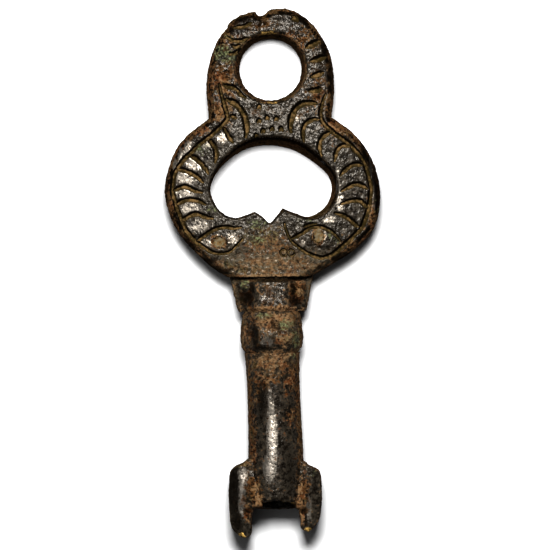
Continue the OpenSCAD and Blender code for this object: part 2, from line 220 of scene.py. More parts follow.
# %% Height of the front face
# A pair says where a fall of the face starts and where it is whole.
CROWN_DROP = 0.06
EDGE_W = 0.85
EDGE_H = 1.35
LIP = 0.30
SIDE_SLOPE = 0.105
SIDE_FROM = 5.6
SIDE_SOFT = 1.2
SIDES_START_Y = (17.5, 14.5)
RING_FALL = 0.28
RING_WIDTHS = (1.2, 3.6)
RING_START_Y = (17.0, 21.0)
BROW_FALL = 0.22
BROW_START_Y = (4.0, 0.0)


def front_height(xy):
    """Height of the front face above the back, in millimetres."""
    outer = distance_to(xy, rim_line)
    inner = distance_to(xy, inner_line)
    rounded = EDGE_H * (1 - np.sqrt(1 - np.clip(1 - outer / EDGE_W, 0, 1) ** 2))
    lip = LIP * np.clip(1 - inner / LIP, 0, 1) ** 2
    side = np.clip(np.abs(xy[:, 0]) - SIDE_FROM, 0, None)
    sides = SIDE_SLOPE * side * side / (side + SIDE_SOFT) * ease(xy[:, 1], *SIDES_START_Y)
    ring = RING_FALL * ease(inner, *RING_WIDTHS) * ease(xy[:, 1], *RING_START_Y)
    brow = BROW_FALL * ease(xy[:, 1], *BROW_START_Y)
    return plate_t - CROWN_DROP - rounded - lip - sides - ring - brow


CROWN_PX = (272, 125)
print("height at the crown:", front_height(from_photo([CROWN_PX]))[0].round(2))

# %% [markdown]
# ## Rings of cross-sections
#
# Both plates have a hole in the middle, so a grid bends round each like a tyre: every step round the
# centre has one closed cross-section, from the inner edge over the front, down the side, across the
# back and up the inner wall. Such a grid is closed everywhere, and its rows can be crowded where the
# engraving needs them.

# %% Meshes from grids of points


def mesh_piece(name, points, faces):
    """A smooth-shaded mesh object at the origin, in metres, with its faces turned outwards."""
    points = np.asarray(points, float).reshape(-1, 3)
    faces = np.asarray(faces, int)
    a, b, c = (points[faces[:, k]] for k in (0, 1, 2))
    if np.einsum("ij,ij->i", a, np.cross(b, c)).sum() < 0:
        faces = faces[:, ::-1]
    mesh = bpy.data.meshes.new(name)
    mesh.from_pydata((points * MM).tolist(), [], faces.tolist())
    mesh.validate()
    mesh.shade_smooth()
    piece = bpy.data.objects.new(name, mesh)
    bpy.context.scene.collection.objects.link(piece)
    return piece


def grid_faces(rows, columns, wrap_rows):
    """Quads, each as two triangles, of a grid that closes along its columns and, if asked, its rows."""
    last = rows if wrap_rows else rows - 1
    i, j = np.meshgrid(np.arange(last), np.arange(columns), indexing="ij")
    i2, j2 = (i + 1) % rows, (j + 1) % columns
    quad = [(p * columns + q).ravel() for p, q in ((i, j), (i2, j), (i2, j2), (i, j2))]
    return np.vstack([np.stack(quad[:3], axis=-1), np.stack([quad[0], quad[2], quad[3]], axis=-1)])


def polar(outline, centre, angles):
    """Distance of an outline from a centre, at each of these angles."""
    offset = outline - centre
    turn = np.arctan2(offset[:, 1], offset[:, 0])
    order = np.argsort(turn)
    return np.interp(angles, turn[order], np.linalg.norm(offset, axis=1)[order], period=2 * np.pi)


LEVEL_RAY = 1e-6


def cut_by_level(radius, centre, angles, level, above):
    """The same distances, stopped where the ray crosses the flat seat at this level."""
    rise = np.sin(angles)
    reaches = rise > LEVEL_RAY if above else rise < -LEVEL_RAY
    limit = np.where(reaches, (level - centre[1]) / np.where(reaches, rise, 1), np.inf)
    return np.minimum(radius, limit)


print("helpers: mesh_piece, grid_faces, polar, cut_by_level")

# %% A pierced plate from closed cross-sections
BACK_BEVEL_W = 0.7
BACK_BEVEL_H = 0.6
BACK_BEVEL_ROUND = 1.3
EVEN_SHARE = 0.55
SIDE_PARTS = (0.25, 0.5, 0.75, 1.0)
BEVEL_PARTS = (0.4, 0.8, 1.0)
BACK_PARTS = (0.3, 0.6, 0.85, 1.0)
WALL_PARTS = (0.06, 0.25, 0.45, 0.62, 0.76, 0.87, 0.95)


def plate_piece(name, centre, outer, inner_front, inner_back, angles, front_rows, flare):
    """A pierced plate: closed cross-sections round a centre, with the shared face on top.

    The inner wall slopes evenly if flare is 1, and opens only near the front if it is more."""
    ray = np.stack([np.cos(angles), np.sin(angles)], axis=-1)
    level = np.ones(len(angles))

    def row(radius, z):
        return np.concatenate([centre + ray * radius[:, None], z[:, None]], axis=1)

    u = np.linspace(0, 1, front_rows)
    share = EVEN_SHARE * u + (1 - EVEN_SHARE) * (1 - np.cos(np.pi * u)) / 2
    reach = inner_front[:, None] + (outer - inner_front)[:, None] * share
    front = centre + ray[:, None, :] * reach[..., None]
    high = front_height(front.reshape(-1, 2)).reshape(len(angles), front_rows)
    rows = [row(reach[:, k], high[:, k]) for k in range(front_rows)]
    edge_z = high[:, -1]
    rows += [row(reach[:, -1], edge_z + (BACK_BEVEL_H - edge_z) * part) for part in SIDE_PARTS]
    for part in BEVEL_PARTS:
        bevel_z = BACK_BEVEL_H * (1 - part) ** BACK_BEVEL_ROUND
        rows.append(row(outer - BACK_BEVEL_W * part, level * bevel_z))
    back_edge = outer - BACK_BEVEL_W
    rows += [row(back_edge + (inner_back - back_edge) * part, level * 0.0) for part in BACK_PARTS]
    for part in WALL_PARTS:
        rows.append(row(inner_back + (inner_front - inner_back) * part ** flare, high[:, 0] * part))
    grid = np.stack(rows, axis=1)
    return mesh_piece(name, grid, grid_faces(grid.shape[0], grid.shape[1], True))


print("rows round a plate, besides its front:", len(SIDE_PARTS + BEVEL_PARTS + BACK_PARTS + WALL_PARTS))

# %% [markdown]
# ## The bow and the loop
#
# On the real key both are one flat casting, pierced in the mould. An extruded outline with a bevel would
# be quick, but its face would be flat and the bevel would trip over the notch. So both are plates of
# cross-sections under the shared face. The walls of the bow's opening slope: at the top and on the right
# the back edge stands further in, so a strip of brown wall shows from the front. The wall of the hanging
# hole is straight and flares only at its mouth.

# %% Make the two plates
DRAFT_TOP = 0.8
DRAFT_RIGHT = 0.6
DRAFT_ROUND = 1.5
BOW_STEPS = 700
BOW_ROWS = 96
BOW_FLARE = 1
bow_centre = np.array([0.05, 9.9])
bow_turn = np.linspace(0, 2 * np.pi, BOW_STEPS, endpoint=False)
bow_outer = polar(bow_outline, bow_centre, bow_turn)
bow_outer = cut_by_level(bow_outer, bow_centre, bow_turn, seat_y, True)
bow_outer = cut_by_level(bow_outer, bow_centre, bow_turn, neck_y, False)
bow_inner = polar(opening_outline, bow_centre, bow_turn)
draft = DRAFT_TOP * np.clip(np.sin(bow_turn), 0, 1) ** DRAFT_ROUND
draft += DRAFT_RIGHT * np.clip(np.cos(bow_turn), 0, 1)
bow = plate_piece("bow_plate_worn", bow_centre, bow_outer, bow_inner, bow_inner - draft, bow_turn,
                  BOW_ROWS, BOW_FLARE)

HOLE_R = 3.55
HOLE_FLARE = 3
LOOP_STEPS = 560
LOOP_ROWS = 64
loop_turn = np.linspace(0, 2 * np.pi, LOOP_STEPS, endpoint=False)
loop_outer = polar(loop_outline, hole_centre, loop_turn)
loop_outer = cut_by_level(loop_outer, hole_centre, loop_turn, seat_y, False)
loop_mouth = np.full(LOOP_STEPS, HOLE_MOUTH_R)
loop_wall = np.full(LOOP_STEPS, HOLE_R)
loop = plate_piece("suspension_loop_worn", hole_centre, loop_outer, loop_mouth, loop_wall, loop_turn,
                   LOOP_ROWS, HOLE_FLARE)
print("faces: bow", len(bow.data.polygons), "loop", len(loop.data.polygons))

# %% [markdown]
# ## The collars and the shank
#
# Below the bow the casting turns from a plate into a pipe: a faceted neck, a swollen bead and a hollow
# shank. A profile spun round the axis would be too regular for them. So each is a row of rings down the
# key, and every ring can have its own shape. The neck's rings are softened polygons that narrow from the
# plate towards the shank. The bead's have eight soft flats. The shank's run down the outside, over the
# worn rim and up into the bore, so that the pipe is truly hollow.

# %% Pieces from rings


def ring_piece(name, rings):
    """A closed piece through rings of points, with a fan over each end."""
    grid = np.stack(rings)
    count, around = grid.shape[:2]
    ends = np.stack([grid[0].mean(axis=0), grid[-1].mean(axis=0)])
    faces = grid_faces(count, around, False)
    j = np.arange(around)
    j2 = (j + 1) % around
    first = np.full(around, count * around)
    base = (count - 1) * around
    top = np.stack([j, j2, first], axis=-1)
    bottom = np.stack([base + j2, base + j, first + 1], axis=-1)
    return mesh_piece(name, np.vstack([grid.reshape(-1, 3), ends]), np.vstack([faces, top, bottom]))


def soft_section(corners, samples, softness):
    """A closed outline through corner points, resampled evenly and softened round its corners."""
    loop_points = np.vstack([corners, corners[:1]])
    along = np.concatenate([[0], np.cumsum(np.linalg.norm(np.diff(loop_points, axis=0), axis=1))])
    even = np.linspace(0, along[-1], samples, endpoint=False)
    line = np.stack([np.interp(even, along, loop_points[:, k]) for k in (0, 1)], axis=-1)
    for _ in range(softness):
        line = 0.5 * line + 0.25 * (np.roll(line, 1, axis=0) + np.roll(line, -1, axis=0))
    return line


print("helpers: ring_piece, soft_section")

# %% The neck
NECK_SHIFT = -0.22
NECK_HALF_W = 4.72
NECK_NARROWS = 0.85
NECK_FRONT_Z = 4.75
NECK_THICKENS = 0.85
NECK_BACK_Z = 0.45
NECK_RECESS = 0.55
NECK_RECESS_DOWN = (0.17, 0.04)
NECK_FOOT = 0.35
NECK_FOOT_DOWN = (0.90, 1.0)
NECK_FOOT_TUCK = 0.45
NECK_FACET = 1.8
NECK_FACET_LOSS = 0.1
NECK_CHAMFER_W = 0.75
NECK_CHAMFER_H = 0.95
NECK_FLANK = 0.7
NECK_FLANK_Z = 2.6
NECK_FLANK_RISES = 0.6
NECK_SAMPLES = 180
NECK_RINGS = 56
NECK_SOFT = 14


def neck_ring(y):
    """One ring of the neck: wide and flat under the bow, narrower and thicker at the bead."""
    down = (neck_y - y) / (neck_y - bead_y)
    recess = NECK_RECESS * ease(down, *NECK_RECESS_DOWN)
    foot = NECK_FOOT * ease(down, *NECK_FOOT_DOWN)
    half = NECK_HALF_W - NECK_NARROWS * down - NECK_FOOT_TUCK * foot
    front = NECK_FRONT_Z + NECK_THICKENS * down - recess - foot
    facet = NECK_FACET * (1 - NECK_FACET_LOSS * down)
    flank = NECK_FLANK_Z + NECK_FLANK_RISES * down
    shoulder = facet + NECK_CHAMFER_W
    shoulder_z = front - NECK_CHAMFER_H
    corners = np.array([
        (facet, front), (-facet, front), (-shoulder, shoulder_z),
        (-half, flank + NECK_FLANK), (-half, flank - NECK_FLANK), (-facet, NECK_BACK_Z),
        (facet, NECK_BACK_Z), (half, flank - NECK_FLANK), (half, flank + NECK_FLANK),
        (shoulder, shoulder_z)])
    line = soft_section(corners, NECK_SAMPLES, NECK_SOFT)
    return np.stack([line[:, 0] + NECK_SHIFT, np.full(NECK_SAMPLES, y), line[:, 1]], axis=-1)


neck = ring_piece("neck_collar_worn", [neck_ring(y) for y in np.linspace(neck_y, bead_y, NECK_RINGS)])
print("faces: neck", len(neck.data.polygons))

# %% The bead
BEAD_SHIFT = -0.3
BEAD_CORNERS = np.radians([54, 116, 163, 200, 244, 296, 340, 17])
BEAD_LEVELS = [0, 0.10, 0.35, 0.62, 0.86, 1.0]
BEAD_RADII = [3.2, 3.48, 3.62, 3.74, 3.6, 3.1]
BEAD_LOWEST_Z = 0.02
BEAD_SAMPLES = 200
BEAD_RINGS = 60
BEAD_SOFT = 30


def bead_ring(y):
    """One ring of the bead: swollen low down, with eight soft flats, and flat on the ground."""
    down = (bead_y - y) / (bead_y - shank_y)
    swell = np.interp(down, BEAD_LEVELS, BEAD_RADII)
    corners = swell * np.stack([np.cos(BEAD_CORNERS), np.sin(BEAD_CORNERS)], axis=-1)
    line = soft_section(corners, BEAD_SAMPLES, BEAD_SOFT)
    z = np.clip(axis_z + line[:, 1], BEAD_LOWEST_Z, bead_top_z)
    return np.stack([line[:, 0] + BEAD_SHIFT, np.full(BEAD_SAMPLES, y), z], axis=-1)


bead = ring_piece("bead_collar_worn", [bead_ring(y) for y in np.linspace(bead_y, shank_y, BEAD_RINGS)])
print("faces: bead", len(bead.data.polygons))

# %% The shank
SHANK_WAIST = [(0, 3.12), (0.08, 3.04), (0.2, 2.99), (0.32, 2.985), (0.5, 3.04), (0.68, 3.12),
               (0.85, 3.17), (1.0, 3.18)]
WAIST_STEP = 0.01
SHANK_BEND_LEVELS = [0, 0.6, 1.0]
SHANK_BEND_X = [-0.27, -0.02, -0.05]
MOUTH_X = -0.05
MOUTH_R = 3.17
BORE_R = 2.2
BORE_DEPTH = 11.0
RIM_ROUND = 0.25
RIM_WEAR = 0.8
RIM_WEAR_DOWN = (0.8, 0.98)
RIM_RAGGED = 0.06
BACK_LIP = 0.45
SHANK_SAMPLES = 220
SHANK_RINGS = 150
RIM_RINGS = 7
BORE_RINGS = 26

shank_turn = np.linspace(0, 2 * np.pi, SHANK_SAMPLES, endpoint=False)
shank_ray = np.stack([np.cos(shank_turn), np.sin(shank_turn)], axis=-1)
front_share = np.clip(shank_ray[:, 1], 0, 1)
back_share = np.clip(-shank_ray[:, 1], 0, 1)
ragged = np.sin(9 * shank_turn) + 0.7 * np.sin(23 * shank_turn + 1)
worn_back = RIM_WEAR * front_share ** 2 - BACK_LIP * back_share + RIM_RAGGED * front_share * ragged


def shank_ring(y, radius, shift, wear):
    """One ring of the shank, with its rim worn back by a share at the front."""
    x = radius * shank_ray[:, 0] + shift
    z = axis_z + radius * shank_ray[:, 1]
    return np.stack([x, y + worn_back * wear, z], axis=-1)


shank_waist = smooth_path(SHANK_WAIST, WAIST_STEP)
shank_rings = []
for y in np.linspace(shank_y, pipe_end_y + RIM_ROUND, SHANK_RINGS):
    down = (shank_y - y) / (shank_y - pipe_end_y)
    radius = np.interp(down, shank_waist[:, 0], shank_waist[:, 1])
    shift = np.interp(down, SHANK_BEND_LEVELS, SHANK_BEND_X)
    shank_rings.append(shank_ring(y, radius, shift, ease(down, *RIM_WEAR_DOWN)))
for turn in np.linspace(0.15, 1.0, RIM_RINGS) * np.pi:
    radius = (MOUTH_R + BORE_R) / 2 + (MOUTH_R - BORE_R) / 2 * math.cos(turn)
    lift = RIM_ROUND * (1 - math.sin(turn))
    shank_rings.append(shank_ring(pipe_end_y + lift, radius, MOUTH_X, 1.0))
for part in np.linspace(0.04, 1, BORE_RINGS):
    y = pipe_end_y + RIM_ROUND + BORE_DEPTH * part
    shank_rings.append(shank_ring(y, BORE_R, MOUTH_X, 1 - part))
shank = ring_piece("shank_pipe_worn", shank_rings)
print("faces: shank", len(shank.data.polygons))

# %% [markdown]
# ## The forked bit
#
# The bit is what meets the lock: a small lump with a prong on each side of the pipe, worn round by use.
# Extruding an outline gives a hard block, and a bevel would stay even all round. So the block is remeshed
# into small cells and smoothed, which wears its corners most. Then the thickness is shaped:
# thinner at the outer edge, and swelling in a fillet where the bit runs up the side of the shank.

# %% Make the bits
LEFT_BIT_PX = [(254, 459), (248, 460), (242, 464.6), (236.2, 466.8), (232.4, 469.6), (229.9, 474),
               (228.8, 492), (229.3, 510.4), (230.2, 521.4), (232, 528.8), (237, 534.3), (241.7, 537.8),
               (246, 538), (251, 535.4), (252, 531), (250.8, 525), (251.8, 515), (254.5, 508.4),
               (263, 506.5)]
RIGHT_BIT_PX = [(300, 461), (305, 462.6), (308.8, 466.3), (314, 468.5), (318.8, 470.8), (320.8, 475),
                (322, 494), (321.6, 504), (320.3, 516.8), (318, 521.6), (312.5, 529.5), (308, 532.4),
                (304, 531.4), (301, 527.5), (300.8, 519.6), (299, 511), (296, 507)]
BIT_CELL = 0.11
BIT_HALF_T = 1.8
BIT_SOFT = 10
BESIDE_PIPE_Y = np.array([-0.5, 0.3])
WEB_Y = np.array([4.5, 0.4])
WEB_X = (4.3, 1.9)
WEB_LEAST = 0.04
OUTER_X = (3.9, 5.4)
OUTER_THIN = 0.20
TIP_Y = np.array([0.0, -3.5])
TIP_THIN = 0.14
PIPE_CLEAR_R = 2.45
PIPE_CLEAR_Y = 0.1


def points_mm(mesh):
    """The places of a mesh's points, in millimetres."""
    flat = np.empty(len(mesh.vertices) * 3)
    mesh.vertices.foreach_get("co", flat)
    return flat.reshape(-1, 3) / MM


def place_points(mesh, points):
    """Puts a mesh's points at these places, given in millimetres."""
    mesh.vertices.foreach_set("co", (points * MM).ravel())


def bit_piece(name, outline_px, web):
    """A worn bit: its outline extruded, remeshed into small cells, smoothed and shaped in thickness.

    The web is how much the bit thickens where it runs into the shank at the pipe's end."""
    outline = from_photo(outline_px)
    count = len(outline)
    low = np.column_stack([outline, np.full(count, axis_z - BIT_HALF_T)])
    high = np.column_stack([outline, np.full(count, axis_z + BIT_HALF_T)])
    mesh = bpy.data.meshes.new(name + "_block")
    ring = list(range(count))
    sides = [(i, (i + 1) % count, count + (i + 1) % count, count + i) for i in ring]
    faces = sides + [ring[::-1], [count + i for i in ring]]
    mesh.from_pydata((np.vstack([low, high]) * MM).tolist(), [], faces)
    block = bpy.data.objects.new(name, mesh)
    bpy.context.scene.collection.objects.link(block)
    cells = block.modifiers.new("cells", "REMESH")
    cells.mode = "VOXEL"
    cells.voxel_size = BIT_CELL * MM
    worn_edges = block.modifiers.new("worn edges", "SMOOTH")
    worn_edges.factor = 0.5
    worn_edges.iterations = BIT_SOFT
    shaped = block.evaluated_get(bpy.context.evaluated_depsgraph_get())
    block.data = bpy.data.meshes.new_from_object(shaped)
    block.modifiers.clear()
    points = points_mm(block.data)
    side = np.abs(points[:, 0])
    beside_pipe = ease(points[:, 1], *(pipe_end_y + BESIDE_PIPE_Y))
    down = ease(points[:, 1], *(pipe_end_y + WEB_Y))
    fillet = (WEB_LEAST + web * down) * ease(side, *WEB_X) * beside_pipe
    pillow = OUTER_THIN * ease(side, *OUTER_X)
    thin = TIP_THIN * ease(points[:, 1], *(pipe_end_y + TIP_Y))
    points[:, 2] = axis_z + (points[:, 2] - axis_z) * (1 + fillet - pillow - thin)
    from_axis = np.hypot(points[:, 0], points[:, 2] - axis_z)
    in_pipe = points[:, 1] > pipe_end_y + PIPE_CLEAR_Y
    clear = 1 + (np.maximum(PIPE_CLEAR_R / from_axis, 1) - 1) * in_pipe
    points[:, 0] = points[:, 0] * clear
    points[:, 2] = axis_z + (points[:, 2] - axis_z) * clear
    place_points(block.data, points)
    block.data.shade_smooth()
    return block


LEFT_WEB = 0.60
RIGHT_WEB = 0.34
left_bit = bit_piece("left_bit_worn", LEFT_BIT_PX, LEFT_WEB)
right_bit = bit_piece("right_bit_worn", RIGHT_BIT_PX, RIGHT_WEB)
print("faces: left bit", len(left_bit.data.polygons), "right bit", len(right_bit.data.polygons))

# %% [markdown]
# ## The engraver's strokes
#
# On the real key each mark is one push of a graver: narrow where the tool enters, widest in the middle
# and thin again where it lifts out. Two long border strokes run down the sides and curl under a pair of
# almond eyes, whose pupils are three short strokes each. Feather strokes branch off the borders, small
# punches sit above the opening, two ring punches stand between the eyes, and short strokes and gouges
# mark the loop. They could be cut with booleans, but many thin cutters are slow and fragile. Here they
# are drawn as plain lines, and a node tree sinks the face wherever a line passes.

# %% The strokes as pixels
BORDER_PX = [
    [(219, 84), (222.6, 99.5), (225.6, 110.7), (227, 118.4), (221, 126), (208.5, 137), (199.8, 143.5),
     (191.6, 151.6), (184.5, 158.5), (177.3, 168), (173.8, 176), (172.2, 189.4), (173.6, 198),
     (177.6, 211), (181.4, 220.5), (186, 230.4), (193.7, 239.6), (202.8, 246.5), (212, 252),
     (219.7, 253.4), (229, 252), (236.5, 245.7), (242.6, 239)],
    [(325.7, 94), (322.7, 101.5), (320.6, 110.7), (321, 118.5), (325.2, 125), (332, 131), (343.3, 139.5),
     (349, 143.5), (356, 150.6), (363.2, 160.3), (367, 171), (370.6, 186.3), (370.4, 195), (368.2, 208),
     (361.8, 226.6), (352.6, 236.6), (342.7, 245.7), (333.5, 253.4), (323.6, 257.6), (315.9, 256.5),
     (306.7, 252.6), (299, 247.3), (292.2, 242), (288.4, 235.8), (285.3, 228), (284.5, 223.6)]]
BAND_PX = [
    [(223.6, 84.7), (234.8, 88.3), (240.9, 94.4), (245.5, 97.4)],
    [(230.7, 115.3), (235.8, 118)],
    [(223.6, 127.6), (228.7, 136.2), (232.8, 142.3)],
    [(208, 138.4), (214, 146.5), (216, 153.7), (215, 162.3)],
    [(190.6, 155.2), (198.3, 160.3), (205, 168), (208, 173.6)],
    [(176.8, 168.5), (188, 171.5), (196.7, 176.6), (203, 182.2)],
    [(173.8, 190), (180.4, 187.3), (185.5, 186.3), (193.2, 190), (201.8, 192.4)],
    [(176, 204.4), (183, 200.6), (192, 199.5), (199.8, 201.4), (205, 204.4)],
    [(181.8, 220.5), (190.6, 215), (196.7, 213.6), (205, 216.7), (212.8, 218.2)],
    [(319, 119), (312, 119.4), (305.8, 123.5), (302.8, 130), (302.8, 136.2), (303.8, 141.3)],
    [(331, 131.7), (324.4, 135.3), (320.3, 140.4), (319.3, 146.5), (320.3, 152.7), (321.3, 155.2)],
    [(349, 146), (342.8, 145.5), (337.7, 149), (335.6, 154.7), (334.6, 160.8)],
    [(362, 165), (356, 164), (350, 166), (344.8, 170), (340.2, 175.6)],
    [(367.2, 188.4), (360, 184.3), (354, 184.3), (348, 187.3), (341.5, 190.8)],
    [(367.2, 207.5), (360.3, 200.6), (351, 200.6), (341.2, 203.7)],
    [(358, 226.6), (350.3, 219.7), (342.7, 215), (335, 212.8)]]
LEAF_PX = [
    [(226.6, 99), (235.8, 103.6), (242.4, 112.2), (245.5, 121), (246.5, 130), (245.5, 137)],
    [(316, 103), (308.4, 102.6), (302.2, 103.6), (296.6, 107.7), (292.6, 113.8), (290.5, 121),
     (290, 128.6), (291, 132)]]
LID_PX = [
    [(196.7, 241), (206, 234.3), (215, 229), (225, 227), (233.4, 228), (241, 227.4)],
    [(290.7, 239), (303.7, 232), (309.8, 227.8), (319, 226.6), (328.2, 229.7), (335, 234.3),
     (340.4, 241.2)],
    [(303.7, 226.6), (310, 224.6), (316, 223.6)]]
PUPIL_PX = [
    [(215.2, 239.8), (222.3, 239.2)], [(214.5, 241.9), (223.3, 241.5)], [(215.8, 244.2), (222.3, 243.8)],
    [(316.2, 232), (316.8, 241)], [(318.3, 231.5), (318.7, 241.5)], [(320.3, 232), (320.5, 240)]]
LOOP_MARK_PX = [
    [(292.7, 16.3), (297.2, 20.4)], [(318.7, 40.8), (306.4, 47.4)], [(325.3, 56.6), (311, 60.7)],
    [(322.8, 72.4), (311.5, 76.5)], [(321, 88.8), (309.4, 90.8)]]
LOOP_GOUGE_PX = [
    [(248, 37.6), (241, 40.8), (233, 40.2), (226, 36.5)], [(241, 49), (234, 53.6), (226, 53)],
    [(251, 22.5), (244, 26), (234, 27.5)], [(240, 45), (235.5, 46.8), (232, 45)]]
PUNCH_PX = [(259, 107), (259, 121), (267, 118), (276, 119), (263, 131), (272, 129), (281, 129),
            (256, 136)]
PUNCH_SIZE_PX = 1.5
RING_PX = [(283.6, 252.6), (291.4, 252.8)]
RING_R_PX = 3.2
print("side strokes:", len(BAND_PX), "punches:", len(PUNCH_PX) + len(RING_PX))

# %% Draw the strokes
STROKE_STEP = 0.08
ENTRY_SHARE = 0.12
EXIT_SHARE = 0.25
RING_STEPS = 13

stroke_points, stroke_edges, stroke_half, stroke_depth = [], [], [], []


def stroke(points_px, half_width, depth):
    """One push of the graver: a line with the cut's half width and depth at each of its points."""
    path = smooth_path(from_photo(points_px), STROKE_STEP)
    t = np.linspace(0, 1, len(path))
    swell = 0.5 + 0.5 * np.minimum(np.clip(t / ENTRY_SHARE, 0, 1), np.clip((1 - t) / EXIT_SHARE, 0, 1))
    first = len(stroke_points)
    stroke_points.extend((x * MM, y * MM, 0.0) for x, y in path)
    stroke_edges.extend((first + i, first + i + 1) for i in range(len(path) - 1))
    stroke_half.extend(half_width * swell * MM)
    stroke_depth.extend(depth * swell * MM)


# Half width and depth of each kind of cut
GRAVER = {"border": (0.34, 0.28), "band": (0.34, 0.27), "leaf": (0.44, 0.32), "lid": (0.29, 0.25),
          "pupil": (0.42, 0.14), "loop_mark": (0.44, 0.24), "loop_gouge": (0.32, 0.20),
          "punch": (0.27, 0.26), "ring": (0.14, 0.10)}
for kind, lines in (("border", BORDER_PX), ("band", BAND_PX), ("leaf", LEAF_PX), ("lid", LID_PX),
                    ("pupil", PUPIL_PX), ("loop_mark", LOOP_MARK_PX), ("loop_gouge", LOOP_GOUGE_PX)):
    for line in lines:
        stroke(line, *GRAVER[kind])
for x, y in PUNCH_PX:
    corner = PUNCH_SIZE_PX
    stroke([(x - corner, y + corner), (x, y - corner), (x + corner, y + corner)], *GRAVER["punch"])
for x, y in RING_PX:
    turns = np.linspace(0, 2 * np.pi, RING_STEPS)
    stroke([(x + RING_R_PX * np.cos(a), y + RING_R_PX * np.sin(a)) for a in turns], *GRAVER["ring"])


def store(mesh, name, values):
    """Keeps one number per point of a mesh, under this name."""
    mesh.attributes.new(name, "FLOAT", "POINT").data.foreach_set("value", np.asarray(values, np.float32))


stroke_mesh = bpy.data.meshes.new("strokes")
stroke_mesh.from_pydata(stroke_points, stroke_edges, [])
store(stroke_mesh, "half_width", stroke_half)
store(stroke_mesh, "cut_depth", stroke_depth)
strokes = bpy.data.objects.new("strokes", stroke_mesh)
bpy.context.scene.collection.objects.link(strokes)
print("stroke points:", len(stroke_points))
